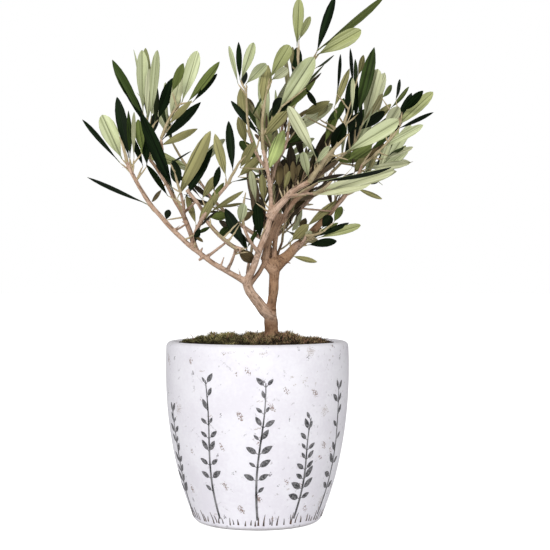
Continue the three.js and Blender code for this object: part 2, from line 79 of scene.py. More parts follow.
# The front view: a level camera straight before the plant, in millimetres and picture points
VIEW_FROM = np.array([13.5, -1020, 188.4])
VIEW_FOCUS = 1326
VIEW_MIDDLE = 275

# Seeds the noise that limbs and twigs wander by, so that it is the same in every run
WANDER_SEED = 34
noise.seed_set(WANDER_SEED)


class Limb(NamedTuple):
    """A limb: what it leaves and where, its radii at both ends, its tip, and its bow off a straight line."""

    base: str
    at: float
    radii: tuple
    tip: tuple
    bow: tuple


class Spray(NamedTuple):
    """A leafy stem on a bough's tip, with crosswise pairs of leaves and side twigs at its lowest nodes."""

    on: str
    tip: tuple
    bow: tuple
    pairs: int
    leaf: float
    spread: float
    roll: float
    twigs: int
    seed: int


class ShootRule(NamedTuple):
    """How thin stems leave a limb: their lean off it, their turn upwards, their lengths, bow and radii."""

    spread: float
    rise: float
    lengths: tuple
    straight: float
    bow: float
    radii: tuple


class FrontLeaf(NamedTuple):
    """A leaf that shows from the front, by its ends and its width in picture points.

    Its root stands nearer than its wood by some millimetres, and its tip leads forward by at least so many.
    """

    root: tuple
    tip: tuple
    wide: float
    kind: str
    nearer: float = 0
    forward: float = 0


LIMBS = {
    "left_limb": Limb("trunk", 0.33, (4.3, 4), (-8.7, -6, 184.8), (-6, 0, -3.5)),
    "left_bough": Limb("left_limb", 0.95, (2.4, 1.6), (-99, -12, 274.3), (-20.5, -1, -12.9)),
    "left_upper_bough": Limb("left_bough", 0.33, (2.3, 1.4), (-83.4, 8, 278), (9, 4, -2)),
    "left_inner_bough": Limb("left_upper_bough", 0.8, (1.5, 1.2), (-73.3, -10, 292), (2, -6, -3)),
    "left_gap_bough": Limb("left_upper_bough", 0.35, (1.5, 1.2), (-57, -26, 250), (1, -5, -3)),
    "left_mid_bough": Limb("left_upper_bough", 0.1, (2, 1.4), (-21.6, -30, 256.3), (-6, -6, 0)),
    "middle_bough": Limb("left_limb", 0.95, (2.9, 2.6), (10.5, -16, 236.1), (4, -2, 0)),
    "middle_low_bough": Limb("middle_bough", 0.42, (1.6, 1.2), (-10, -30, 226), (-2, -5, -4)),
    "inner_left_bough": Limb("left_limb", 0.9, (1.7, 1.2), (-5, 14, 206), (-2, 4, -3)),
    "left_low_bough": Limb("left_bough", 0.12, (1.5, 1.1), (-16.5, -28, 208), (3, -5, 2)),
    "middle_left_bough": Limb("middle_bough", 0.95, (1.9, 1.5), (4.5, -22, 282.5), (4, -1, 0)),
    "middle_right_bough": Limb("middle_bough", 0.92, (3.3, 2.2), (38.9, -28, 258), (-1, -2, 6)),
    "centre_left_bough": Limb("middle_left_bough", 0.7, (1.4, 1.1), (-6, -7, 296.8), (-3, 5, -3)),
    "crown_bough": Limb("middle_left_bough", 0.45, (1.7, 1.3), (19.7, 4, 309), (2, 8, -4)),
    "top_bough": Limb("crown_bough", 0.4, (1.4, 1.1), (23.5, -16, 297), (4, -5, -2)),
    "right_bough": Limb("trunk", 0.93, (4.9, 1.8), (68.4, 20, 251.1), (0, 0, -6)),
    "centre_bough": Limb("trunk", 0.95, (2, 2.2), (46.1, 8, 260.5), (-20, 4, 8)),
    "right_low_bough": Limb("right_bough", 0.3, (1.7, 1.3), (37.1, -12, 218.1), (2, -4, -3)),
    "right_upper_bough": Limb("right_bough", 0.8, (1.6, 1.2), (80.2, -4, 272.7), (3, -6, -4)),
    "right_front_bough": Limb("middle_right_bough", 0.45, (1.2, 1.1), (42, -42, 248), (0, -3, 3)),
    "inner_bough": Limb("trunk", 0.97, (1.3, 1.1), (19, 20, 214), (-1, 4, -3)),
    "back_bough": Limb("trunk", 0.9, (2.9, 1.7), (3, 46, 256.7), (-2, 10, -8)),
    "back_left_bough": Limb("back_bough", 0.4, (1.9, 1.3), (-46, 44, 262), (-4, 6, -10)),
    "back_right_bough": Limb("centre_bough", 0.45, (1.9, 1.3), (59.7, 54, 271.8), (2, 8, -8)),
    "back_low_bough": Limb("back_bough", 0.4, (1.6, 1.2), (30, 50, 240), (2, 6, -6)),
}

SPRAYS = {
    "left_outer_spray": Spray("left_bough", (-104, -18, 293), (1, 0, -1), 4, 40, 40, 30, 0, 92),
    "left_crown_spray": Spray("left_upper_bough", (-86, 14, 318), (-2, 0, 0), 5, 52, 25, 0, 0, 60),
    "left_inner_spray": Spray("left_inner_bough", (-59, -20, 317), (-2, 0, 2), 5, 42, 35, 30, 0, 32),
    "left_gap_spray": Spray("left_gap_bough", (-61, -36, 265), (-1, 0, 0), 3, 52, 35, 0, 0, 52),
    "left_mid_spray": Spray("left_mid_bough", (-8, -46, 276), (-2, 0, 2), 5, 40, 50, 15, 0, 11),
    "middle_low_spray": Spray("middle_low_bough", (-8, -44, 249), (-2, 0, -2), 4, 40, 45, 30, 0, 8),
    "left_low_spray": Spray("left_low_bough", (-34, -44, 224), (2, 0, -2), 4, 42, 45, 30, 0, 41),
    "inner_left_spray": Spray("inner_left_bough", (-1, 26, 233), (-1, 2, 0), 5, 38, 45, 0, 0, 39),
    "centre_left_spray": Spray("centre_left_bough", (-8, -14, 330), (-2, 0, 0), 5, 40, 30, 15, 0, 96),
    "centre_up_spray": Spray("middle_left_bough", (8, -44, 325), (-4, 0, 2), 6, 42, 35, 0, 1, 67),
    "top_spray": Spray("top_bough", (31, -28, 344), (-1, 0, 0), 5, 48, 25, 15, 0, 50),
    "crown_spray": Spray("crown_bough", (48, 6, 360), (-3, 0, 3), 5, 48, 40, 45, 0, 83),
    "right_mid_spray": Spray("middle_right_bough", (68, -50, 292), (-2, -3, 2), 5, 50, 40, 30, 0, 34),
    "right_top_spray": Spray("centre_bough", (74, 20, 327), (3, 0, -3), 6, 44, 20, 45, 1, 17),
    "right_outer_spray": Spray("right_bough", (104, 36, 279), (4, 0, -4), 6, 36, 35, 90, 1, 81),
    "right_tip_spray": Spray("right_upper_bough", (109, -8, 302), (3, 0, -3), 5, 40, 35, 45, 0, 98),
    "right_low_spray": Spray("right_low_bough", (50, -28, 221), (0, 0, -2), 4, 32, 40, 75, 0, 31),
    "right_front_spray": Spray("right_front_bough", (56, -64, 258), (1, -2, -2), 4, 54, 35, 60, 0, 25),
    "inner_spray": Spray("inner_bough", (26, 32, 246), (-2, 2, 0), 5, 48, 40, 45, 1, 40),
    "back_centre_spray": Spray("back_bough", (8, 80, 319), (0, 8, -4), 6, 46, 45, 60, 2, 84),
    "back_left_spray": Spray("back_left_bough", (-74, 72, 304), (-3, 4, -3), 6, 46, 30, 75, 1, 63),
    "back_right_spray": Spray("back_right_bough", (88, 84, 313), (3, 4, -4), 6, 46, 25, 15, 1, 25),
    "back_low_spray": Spray("back_low_bough", (39, 88, 275), (2, 3, -4), 5, 50, 45, 45, 1, 12),
}

# Leaves that show from the front, by the limb or spray whose wood carries them: root and tip in a
# row, then width, kind and the rest as a FrontLeaf has them
FRONT_LEAVES = {
    "left_outer_spray": [
        (119.7, 162.5, 81.2, 120.3, 4, "deep"), (122, 159, 102, 115, 17, "pale"),
        (129, 158, 117, 97, 11.5, "deep"), (130, 158, 130, 110, 6, "dusky"),
        (142, 153, 138, 119, 10, "green"), (147, 166, 144.5, 132, 9, "deep"),
        (143, 166, 132, 138, 6, "deep"),
    ],
    "left_crown_spray": [
        (143, 116, 110.5, 59, 10, "dusky"), (143, 112, 142, 50, 12.5, "pale"),
        (151, 118, 157, 50, 10, "pale"), (148, 122, 151, 68, 10, "silver"),
        (158, 120, 172, 80, 12, "deep"), (152, 136, 156, 112, 9, "deep"), (155, 124, 157, 86, 6, "dusky"),
    ],
    "left_inner_spray": [
        (172, 92, 183, 64, 9, "green", 1), (171, 118, 182, 70, 12, "silver"),
        (182, 102, 197, 51, 14, "pale"), (187, 103, 220, 61, 9, "green"), (193, 102, 216, 74, 6, "deep"),
        (162, 140, 201, 102, 10, "deep"), (160, 146, 197, 129, 8, "khaki"),
        (168, 125, 190, 101, 6, "khaki"),
    ],
    "left_gap_spray": [
        (174, 193, 139, 111, 13, "deep", 1), (177.5, 198, 210.5, 131, 14, "khaki"),
        (185, 198, 213, 147, 10, "deep"), (179, 186, 173, 163, 12, "deep"),
        (168, 196, 148, 165, 6, "deep", 1), (172, 187, 156, 164, 5, "deep"),
        (170, 163, 193, 153, 3.4, "deep", 6),
    ],
    "left_mid_spray": [
        (226, 177, 215, 134, 10, "khaki"), (233, 172, 228.5, 120, 9, "deep"),
        (202, 199, 216, 176, 9, "khaki"), (214, 190, 219, 168, 7, "deep"),
        (209, 213, 243, 190, 5, "khaki"), (214, 207, 243, 204, 3, "khaki"),
        (198, 226, 212, 200, 9, "khaki"), (201, 216, 220, 192, 8, "khaki"),
        (206, 210, 223, 184, 7, "green"), (196, 224, 187, 197, 7, "khaki"),
        (232, 182, 264, 174, 2.4, "dusky"),
    ],
    "left_low_spray": [
        (244, 247, 225, 208, 12, "deep"), (240, 224, 244, 202, 10, "pale"),
        (238, 223, 254, 211, 7, "dry"), (210, 218, 228, 214, 10, "green"),
        (218, 237, 228, 228, 8, "dusky"), (237.5, 249, 253, 261, 12, "dry"),
    ],
    "centre_left_spray": [
        (238, 84, 229.5, 46, 5, "pale"), (240, 80, 238.5, 42, 6, "deep"),
        (241, 80, 253.5, 43, 10, "pale"), (243, 86, 246, 74, 6, "deep"), (246, 84, 267, 62, 11, "pale"),
        (246, 128, 241, 88, 12, "khaki"), (260, 136, 231, 101, 7, "deep"),
        (246, 144, 238, 116, 9, "khaki"),
    ],
    "centre_up_spray": [
        (262, 104, 268, 66, 12, "khaki"), (270, 78, 289, 46, 14, "olive"),
        (272, 80, 288, 68, 10, "silver"), (278, 112, 314, 57, 19, "pale"),
        (272, 116, 283, 96, 12, "deep"), (266, 128, 307, 88, 5, "deep"), (284, 112, 316, 82, 6, "green"),
        (306, 88, 316, 107, 6, "deep"), (264, 136, 286, 112, 12, "khaki"),
        (240, 168, 254, 142, 10, "khaki"), (238, 177, 263, 154, 10, "khaki"),
        (256, 203, 251, 172, 7, "silver"), (264, 202, 262, 176, 8, "khaki"),
        (260, 239, 257, 203, 12, "deep"), (268, 171, 284, 130, 13.5, "young"),
    ],
    "top_spray": [
        (297, 46, 299, -2, 11.5, "olive"), (299, 40, 308, 18, 6, "olive"), (292, 66, 291, 46, 5, "khaki"),
    ],
    "crown_spray": [
        (316.5, 53, 334.3, -5, 9, "deep"), (317, 51, 386, -4.5, 7, "green"),
        (317, 55, 361, 30, 16, "olive"), (316, 68, 335, 56, 3, "dusky"),
    ],
    "right_top_spray": [
        (337, 94, 341.7, 54, 3, "deep"), (334, 108, 350, 68, 7, "khaki"),
        (353, 84, 352.5, 49, 3.4, "deep"), (354, 90, 357, 58, 5, "dusky"),
        (303, 115, 328, 102, 9, "khaki"), (326, 122, 346, 106, 8, "dusky"),
        (317, 118, 327, 104, 8, "khaki"), (356, 122, 356, 78, 6, "deep", 7),
        (358, 76, 365, 53, 6, "khaki"), (348, 130, 352, 76, 11, "deep", 8),
        (358, 114, 374, 48.5, 13, "dusky"), (364, 120, 378, 69, 16, "silver"),
        (348, 134, 360, 114, 12, "deep"), (360, 130, 384, 112, 10, "deep"),
        (325, 142, 338, 106, 9, "green"), (332, 152, 343, 123, 14, "deep", 1),
    ],
    "right_tip_spray": [
        (382, 98, 393, 85, 6, "green"), (396, 100, 398, 80, 3, "deep"), (391, 108, 411, 87, 5, "green"),
        (402, 112, 422, 92, 9, "deep", 1), (394, 128, 433, 92, 12, "olive"),
        (398, 129, 432, 111, 4, "deep"), (381, 148, 423, 125, 9, "pale"),
        (384, 159, 413, 147, 5.5, "silver", 7), (388, 156, 404, 146, 4, "dusky", 1),
        (366, 169, 408, 163, 8, "silver"), (384, 130, 398, 108, 12, "silver"),
    ],
    "right_mid_spray": [
        (346, 152, 399, 120, 16, "pale"), (316, 157, 288, 106, 12.5, "silver"),
        (322, 163, 304, 133, 5, "deep"), (348, 160, 372, 144, 14, "green"),
        (308.5, 178, 303, 152, 9, "pale"), (315, 164, 328, 147, 5.5, "pale"),
    ],
    "right_front_spray": [
        (306, 195, 372, 181, 15, "silver", 6, 30), (332, 189, 394, 170, 12, "silver", 12, 48),
        (318, 182, 391, 169.5, 4.6, "deep", 30, 74),
    ],
    "right_low_spray": [
        (318, 238, 361, 225, 8.5, "olive"), (322, 228, 332, 214, 11, "deep"),
        (334, 222, 341, 208, 8, "green"), (315, 237, 349, 223, 5.5, "deep", 1),
        (308, 245, 337, 241, 9, "deep"),
    ],
    "middle_right_bough": [
        (279, 188, 279, 165, 9, "dry"), (287, 186, 286, 163, 6, "dry"), (293, 184, 293, 162, 6, "dry"),
        (298, 180, 299, 163, 6, "dry"), (284, 190, 290, 170, 6, "khaki"),
    ],
    "right_bough": [
        (356, 188, 382, 199, 5, "khaki"), (292, 256, 317, 262, 5.5, "khaki"),
        (306, 227, 338, 200, 8, "khaki"), (291, 241, 309, 224, 10, "khaki"),
        (299, 241, 312, 231, 6, "silver"), (300, 232, 306, 217, 7, "dry"),
    ],
    "left_bough": [
        (147, 204.3, 89, 175, 4, "deep"), (196, 234, 210, 227, 4, "dusky", 4),
        (194, 235, 203, 242, 3.5, "dry", 4), (134, 158, 132, 112, 5, "silver"),
        (195, 242, 199, 229, 6, "deep", 5),
    ],
    "left_upper_bough": [
        (162, 189, 153, 201, 4.5, "dry"), (166, 220, 169, 209, 7, "deep"),
    ],
    "right_low_bough": [
        (314, 236, 338, 223, 5, "green"), (307, 242, 321, 228, 7, "dry"),
        (310, 239, 327, 229, 4, "dusky"),
    ],
    "left_low_bough": [
        (248, 252, 238, 231, 7, "deep"), (247, 248, 257, 230, 4, "dusky"),
    ],
    "right_upper_bough": [
        (372, 150, 390, 133, 6, "dusky"), (366, 160, 384, 141, 8, "dry"),
    ],
    "right_outer_spray": [
        (354, 173, 366, 157, 10, "khaki"), (353, 174, 372, 150, 9, "dry"),
    ],
    "centre_bough": [
        (337, 122, 344, 98, 7, "dusky"), (352, 113, 352.5, 78, 4, "silver", 12),
    ],
    "left_inner_bough": [
        (172, 124, 177, 88, 11, "silver"),
    ],
}

# The growing rule: where leaves and twigs stand on a stem, in shares of its length, degrees and millimetres
FIRST_NODE = 0.22
TWIG_LENGTH = 0.45
TWIG_SHORTEST = 0.8
TWIG_VARIES = 0.5
TWIG_FOLLOW = 0.25
TWIG_BOW = 0.1
TWIG_SPREAD = 46
TWIG_PAIRS = 3
TWIG_TIP_RADIUS = 0.75
STEM_STEP = 0.9
TWIG_STEP = 0.75
ROLL_JITTER = 36
SPREAD_JITTER = 14
SPREAD_AT_TIP = 0.6
SPREAD_AT_ROOT = 1.3
LENGTH_JITTER = 0.24
LIFT = 0.16
FACE_TURN = 120
LEAF_BEND = 0.22
BENDS_BACK = 0.6
LEAF_WIDTH = 0.2
LEAF_TRIES = 6
SEEDS_PER_SPRAY = 4096
SEEDS_PER_SEAT = 16
STEEP_ALONG_Y = 0.75
WOOD_ROOM = 1.4
OWN_ROOM = 1.3
OTHER_ROOM = 3.1
CROWDED_ROOT = 0.3
SAMPLE_STEPS = 8
SAMPLE_ACROSS = (-0.85, 0, 0.85)
WOOD_STEPS = 24
LENGTH_STEPS = 40
FARTHEST_LEAVES = 120
RANDOM_STEP = 0x6D2B79F5
WORD = 0xFFFFFFFF

# Leaves seen from the front: how far they lean in depth, and their least real width as a share of length
FRONT_LEAST_LEAN = 0.2
FRONT_FULL = 0.8
FRONT_NARROWEST = 0.15
FRONT_BEND = 0.6
FRONT_SEED = 19
UNDERSIDE_BLUNT = (0.75, 1)
TOPSIDE_BLUNT = 0.5
BOUGH_LEAF = 30
TWIG_BEFORE_LEAF = 0.3
SIDE_TWIG_RADII = (0.75, 0.5)
NO_BOW = (0, 0, 0)

# What shows the underside of a leaf from the front, and which finish of leaf that is
SHOWS_UNDERSIDE = {"pale": "deep", "silver": "dusky", "olive": "green"}

# Openings of the crown that show sky from the front: their middles and radii, in picture points
OPEN_SKY = (
    (216, 100, 12), (215, 76, 9), (211, 163, 5), (242, 188, 9), (213, 233, 9), (225, 246, 7),
    (166, 208, 9), (176, 152, 6), (183, 212, 5), (163, 113, 4), (330, 80, 11), (322, 96, 6),
    (317, 117, 4), (324, 136, 4), (344, 166, 4), (322, 207, 8), (288, 228, 3), (268, 206, 4),
    (285, 150, 3), (254, 86, 5), (262, 52, 7), (278, 38, 8), (224, 60, 6), (341, 36, 8), (300, 245, 4),
    (222, 196, 4), (105, 105, 7), (163, 52, 6), (178, 147, 7), (189, 143, 6), (286, 33, 6), (281, 83, 6),
    (352, 205, 7), (434, 88, 6), (312, 30, 9), (309, 48, 7), (316, 18, 6), (306, 62, 4), (168, 62, 6),
    (163, 68, 4), (98, 111, 6), (172, 152, 6), (184, 160, 5), (257, 80, 5), (304, 106, 4), (318, 122, 5),
    (326, 138, 5), (408, 139, 4), (410, 156, 4), (396, 184, 6), (250, 225, 5), (256, 244, 5),
    (286, 229, 4), (284, 240, 5), (279, 249, 3), (233, 239, 4), (245, 148, 4), (235, 156, 4),
    (315, 216, 6), (314, 204, 5), (341, 170, 4), (127, 72, 5), (122, 102, 5), (247, 204, 5),
    (430, 119, 3), (343, 170, 4.5), (331, 175, 4), (437, 93, 4), (434, 103, 5), (303, 102, 4.5),
    (286.5, 149, 4.5), (283, 83, 5), (148, 60, 4), (126, 103, 5), (426, 122, 3), (417, 159, 4),
    (127, 66, 4), (410, 140, 6), (411, 154, 6), (403, 146, 3), (399, 157, 3),
)
SPILL = 2
COVERS = 0.45

# Wood that stays in sight from the front: how much of each limb, from its root
SHOWN_WOOD = {"left_limb": 1, "left_bough": 1, "left_upper_bough": 0.8, "middle_bough": 1,
              "middle_left_bough": 0.55, "middle_right_bough": 0.8, "centre_bough": 0.9, "right_bough": 0.4}

# Fine shoots in the heart of the crown: the bough, where on it they begin, and how many
FINE_HOSTS = {
    "middle_bough": (0.35, 8), "middle_left_bough": (0.1, 9), "middle_right_bough": (0.15, 8),
    "centre_bough": (0.3, 9), "back_bough": (0.4, 7), "inner_bough": (0.3, 6), "right_bough": (0.35, 6),
    "left_mid_bough": (0.3, 5), "left_low_bough": (0.4, 4), "right_low_bough": (0.4, 4),
    "crown_bough": (0.2, 6), "back_right_bough": (0.3, 4), "back_left_bough": (0.4, 4),
}
FINE_SHOOT = ShootRule(40, 0.45, (20, 46), 0.3, 0.3, (0.7, 0.35))
FINE_PAIRS = 4
FINE_LEAVES = (15, 27)
FINE_LEAF_SPREAD = 42
FINE_SEED = 7000
SEEDS_PER_HOST = 100

# Bare twigs in the heart of the crown: the bough, and where on it they begin. Their dark bark is partly
# painted shade in the heart.
BARE_HOSTS = {"middle_bough": 0.5, "centre_bough": 0.25, "middle_right_bough": 0.1, "back_bough": 0.35,
              "middle_left_bough": 0.05, "right_bough": 0.3, "inner_bough": 0.2}
BARE_TWIG = ShootRule(24, 0.9, (12, 38), 0.5, 0.4, (0.6, 0.3))
BARE_COUNT = 18
BARE_SEED = 18

# Which finish of leaf each spray grows, dealt out in turn at random; the shadowed finish, dark brown on both
# sides, is painted shade in the heart of the crown
LEAF_KINDS = {
    "left_crown_spray": ("deep", "deep", "green"),
    "left_outer_spray": ("deep", "green"),
    "inner_spray": ("withered", "dry", "withered", "khaki"),
    "inner_left_spray": ("withered", "dry", "withered", "khaki"),
    "middle_low_spray": ("khaki", "dry", "dusky"),
    "back_low_spray": ("dusky", "withered", "khaki"),
    "left_low_spray": ("deep", "dusky", "green"),
    "right_tip_spray": ("green", "deep", "dusky"),
    "top_spray": ("green", "dusky"),
}
OTHER_KINDS = ("deep", "dusky", "deep", "dusky", "khaki", "green")
# Fine shoots and the hosts in the heart grow mostly shadowed leaves, which are painted shade there
FINE_KINDS = ("dry", "withered", "withered", "dry", "withered", "khaki")
DARK_KINDS = ("withered", "withered", "dry", "withered")
DARK_HOSTS = ("back_bough", "inner_bough", "centre_bough", "middle_right_bough")

# A leaf's blade: stations along it, its share of half width at each, and the width of its midrib
BLADE_STATIONS = np.array((0, 0.07, 0.16, 0.3, 0.46, 0.62, 0.78, 0.9, 0.97, 1))
POINTED_WIDTHS = np.array((0.07, 0.09, 0.38, 0.76, 0.98, 1, 0.8, 0.46, 0.18, 0.03))
BLUNT_WIDTHS = np.array((0.07, 0.08, 0.24, 0.56, 0.85, 1, 0.97, 0.74, 0.4, 0.05))
BLADE_THICKNESS = 0.012
BLADE_FOLD = 0.16
BLADE_TWIST = 0.45
RIB_SHARE = 0.085
RIB_LEAST = 0.22
RIB_TAPER = (1.2, 0.5)
RIB_WIDEST = 0.9
FOLD_VARIES = (0.5, 0.8)
TWIST_VARIES = 0.5
TWIST_FROM = 0.2
THINS_TO = 0.45
RIB_ABOVE = 0.35
RIB_BELOW = 0.65
SMOOTH_ANGLE = 50


def mix(first, second, share):
    return first + (second - first) * share


def unit(vector):
    return vector / np.linalg.norm(vector)


def lengths(vectors):
    return np.linalg.norm(vectors, axis=-1)


def seeded_random(seed):
    """A repeatable run of numbers from 0 to 1, the same as the solids are grown with."""
    state = seed

    def draw():
        nonlocal state
        state = (state + RANDOM_STEP) & WORD
        word = ((state ^ (state >> 15)) * (state | 1)) & WORD
        word ^= (word + (word ^ (word >> 7)) * (word | 61)) & WORD
        return ((word ^ (word >> 14)) & WORD) / (WORD + 1)

    return draw


class Stem:
    """A tapering limb or twig along a bowed line, in millimetres."""

    def __init__(self, start, tip, bow, radii):
        self.start = np.array(start, float)
        self.tip = np.array(tip, float)
        self.middle = (self.start + self.tip) / 2 + np.array(bow, float)
        self.radii = radii

    def point(self, share):
        rest = 1 - share
        return rest**2 * self.start + 2 * rest * share * self.middle + share**2 * self.tip

    def tangent(self, share):
        return unit((1 - share) * (self.middle - self.start) + share * (self.tip - self.middle))

    def radius(self, share):
        return mix(*self.radii, share)

    def line(self, count):
        """Points spread along the stem."""
        return np.array([self.point(share) for share in np.linspace(0, 1, count)])

    def length(self):
        return lengths(np.diff(self.line(LENGTH_STEPS), axis=0)).sum()

    def across(self, share):
        """Two directions square to the stem."""
        steep = abs(unit(self.tip - self.start)[1]) > STEEP_ALONG_Y
        side = unit(np.cross((1, 0, 0) if steep else (0, 1, 0), self.tangent(share)))
        return side, np.cross(self.tangent(share), side)

    def spoke(self, share, degrees):
        side, other = self.across(share)
        turn = math.radians(degrees)
        return side * math.cos(turn) + other * math.sin(turn)


class Trunk(Stem):
    """The trunk, which swells under its fork and flares into its roots."""

    FOOT = (10.5, 0, GROUND)
    FORK = (13.7, 0, 200.5)
    BOW = (-0.6, 0, 0)
    RADII = (5.1, 3.5)
    WAIST = (0.26, 0.46)
    FLARE = 0.9
    FLARE_REACH = 0.07
    FORK_SWELL = 1.2
    FORK_SWELL_POWER = 6

    def __init__(self):
        super().__init__(self.FOOT, self.FORK, self.BOW, self.RADII)

    def radius(self, share):
        begins, ends = self.WAIST
        taper = mix(*self.radii, np.clip((share - begins) / (ends - begins), 0, 1))
        flare = self.FLARE * math.exp(-share / self.FLARE_REACH)
        return taper + flare + self.FORK_SWELL * share**self.FORK_SWELL_POWER


class Leaf(NamedTuple):
    """A leaf: its root, the way it points, its upper face and its edge, with its sizes and finish."""

    root: np.ndarray
    aim: np.ndarray
    face: np.ndarray
    edge: np.ndarray
    length: float
    width: float
    bend: float
    kind: str
    owner: str
    blunt: float


class Seat(NamedTuple):
    """A place on a stem where a leaf may stand."""

    number: int
    root: np.ndarray
    tangent: np.ndarray
    spoke: np.ndarray
    age: float


class Tree(NamedTuple):
    limbs: dict
    twigs: list
    bare: list
    leaves: list


def leaning(tangent, spoke, degrees):
    lean = math.radians(degrees)
    return tangent * math.cos(lean) + spoke * math.sin(lean)


def turned(vector, axis, angle):
    """A vector turned about an axis that is square to it."""
    return vector * math.cos(angle) + np.cross(axis, vector) * math.sin(angle)


def climb(line, spec, random, pairs, side_twigs, twigs, seats):
    """Crosswise pairs up one stem: two leaves at a node or, low on the stem, a leaf and a twig."""
    for node in range(pairs):
        share = mix(FIRST_NODE, 1, node / (pairs - 1))
        tangent = line.tangent(share)
        roll = spec.roll + 90 * node + (random() - 0.5) * ROLL_JITTER
        for side in (0, 180):
            spoke = line.spoke(share, roll + side)
            root = line.point(share)
            if node < side_twigs and side == 180 * (node % 2):
                length = TWIG_LENGTH * line.length() * (TWIG_SHORTEST + TWIG_VARIES * random())
                aim = leaning(tangent, spoke, TWIG_SPREAD) + tangent * TWIG_FOLLOW
                radii = (line.radius(share) * TWIG_STEP, TWIG_TIP_RADIUS)
                twig = Stem(root, root + aim * length, spoke * length * TWIG_BOW, radii)
                twigs.append(twig)
                climb(twig, spec, random, TWIG_PAIRS, 0, twigs, seats)
            else:
                seats.append(Seat(len(seats), root, tangent, spoke, 1 - share))


def grow_spray(spec, host):
    """One spray's stem and twigs, and the seats on them where leaves may stand."""
    start = host.point(1) + host.tangent(1) * CLEARANCE
    stem = Stem(start, spec.tip, spec.bow, (host.radius(1) * STEM_STEP, TWIG_TIP_RADIUS))
    twigs, seats = [stem], []
    climb(stem, spec, seeded_random(spec.seed), spec.pairs, spec.twigs, twigs, seats)
    return twigs, seats


def leaf_on(seat, spec, attempt, kinds, owner):
    """One leaf on its seat: its upper face turns to the stem's tip, and it bends along its length."""
    random = seeded_random(spec.seed * SEEDS_PER_SPRAY + seat.number * SEEDS_PER_SEAT + attempt)
    opening = spec.spread * mix(SPREAD_AT_TIP, SPREAD_AT_ROOT, seat.age)
    aim = leaning(seat.tangent, seat.spoke, opening + (random() - 0.5) * SPREAD_JITTER)
    aim = unit(aim + np.array((0, 0, LIFT)))
    length = spec.leaf * (1 + (random() - 0.5) * LENGTH_JITTER)
    turn = math.radians((random() - 0.5) * FACE_TURN)
    face = turned(unit(seat.tangent - aim * seat.tangent.dot(aim)), aim, turn)
    bend = (random() - BENDS_BACK) * LEAF_BEND
    kind = kinds[int(random() * len(kinds))]
    width = LEAF_WIDTH * length
    return Leaf(seat.root, aim, face, np.cross(aim, face), length, width, bend, kind, owner, random())


def leaf_samples(leaf):
    """Points over a leaf, for finding out what it touches."""
    along = np.repeat(np.arange(1, SAMPLE_STEPS + 1) / SAMPLE_STEPS, len(SAMPLE_ACROSS))
    half = leaf.width / 2 * np.interp(along, BLADE_STATIONS, mix(POINTED_WIDTHS, BLUNT_WIDTHS, leaf.blunt))
    sideways = half * np.tile(SAMPLE_ACROSS, SAMPLE_STEPS)
    reach = leaf.length * along
    points = leaf.root + np.outer(reach, leaf.aim) + np.outer(leaf.bend * reach * along, leaf.face)
    return along, points + np.outer(sideways, leaf.edge)


class Crowd:
    """What already stands in the crown, so that a new leaf keeps clear of it."""

    def __init__(self, wood):
        shares = np.linspace(0, 1, WOOD_STEPS + 1)
        self.wood = np.concatenate([stem.line(WOOD_STEPS + 1) for _, stem in wood])
        self.thick = np.array([stem.radius(share) for _, stem in wood for share in shares])
        self.owners = np.repeat([owner for owner, _ in wood], WOOD_STEPS + 1)
        self.leaves = []

    def admits(self, leaf):
        along, points = leaf_samples(leaf)
        gaps = lengths(points[:, None] - self.wood[None]) - self.thick
        counted = (along > CROWDED_ROOT)[:, None] | (self.owners != leaf.owner)[None]
        if (counted & (gaps < WOOD_ROOM)).any():
            return False
        for other, other_along, other_points in self.leaves:
            if np.linalg.norm(other.root - points[0]) > FARTHEST_LEAVES:
                continue
            own = other.owner == leaf.owner
            first = CROWDED_ROOT if own else 0
            ours, theirs = points[along > first], other_points[other_along > first]
            nearest = lengths(ours[:, None] - theirs[None]).min()
            if nearest < (OWN_ROOM if own else OTHER_ROOM):
                return False
        return True

    def add(self, leaf):
        self.leaves.append((leaf, *leaf_samples(leaf)))

    def grown(self):
        return [leaf for leaf, *_ in self.leaves]


def picture_point(place):
    """Where a point shows in the front view."""
    scale = VIEW_FOCUS / (place[..., 1] - VIEW_FROM[1])
    right = VIEW_MIDDLE + (place[..., 0] - VIEW_FROM[0]) * scale
    down = VIEW_MIDDLE - (place[..., 2] - VIEW_FROM[2]) * scale
    return np.stack((right, down), axis=-1)


def behind_point(point, depth):
    """The place at a depth, in Y, behind a point of the front view."""
    scale = (depth - VIEW_FROM[1]) / VIEW_FOCUS
    right = VIEW_FROM[0] + (point[0] - VIEW_MIDDLE) * scale
    up = VIEW_FROM[2] - (point[1] - VIEW_MIDDLE) * scale
    return np.array((right, depth, up))


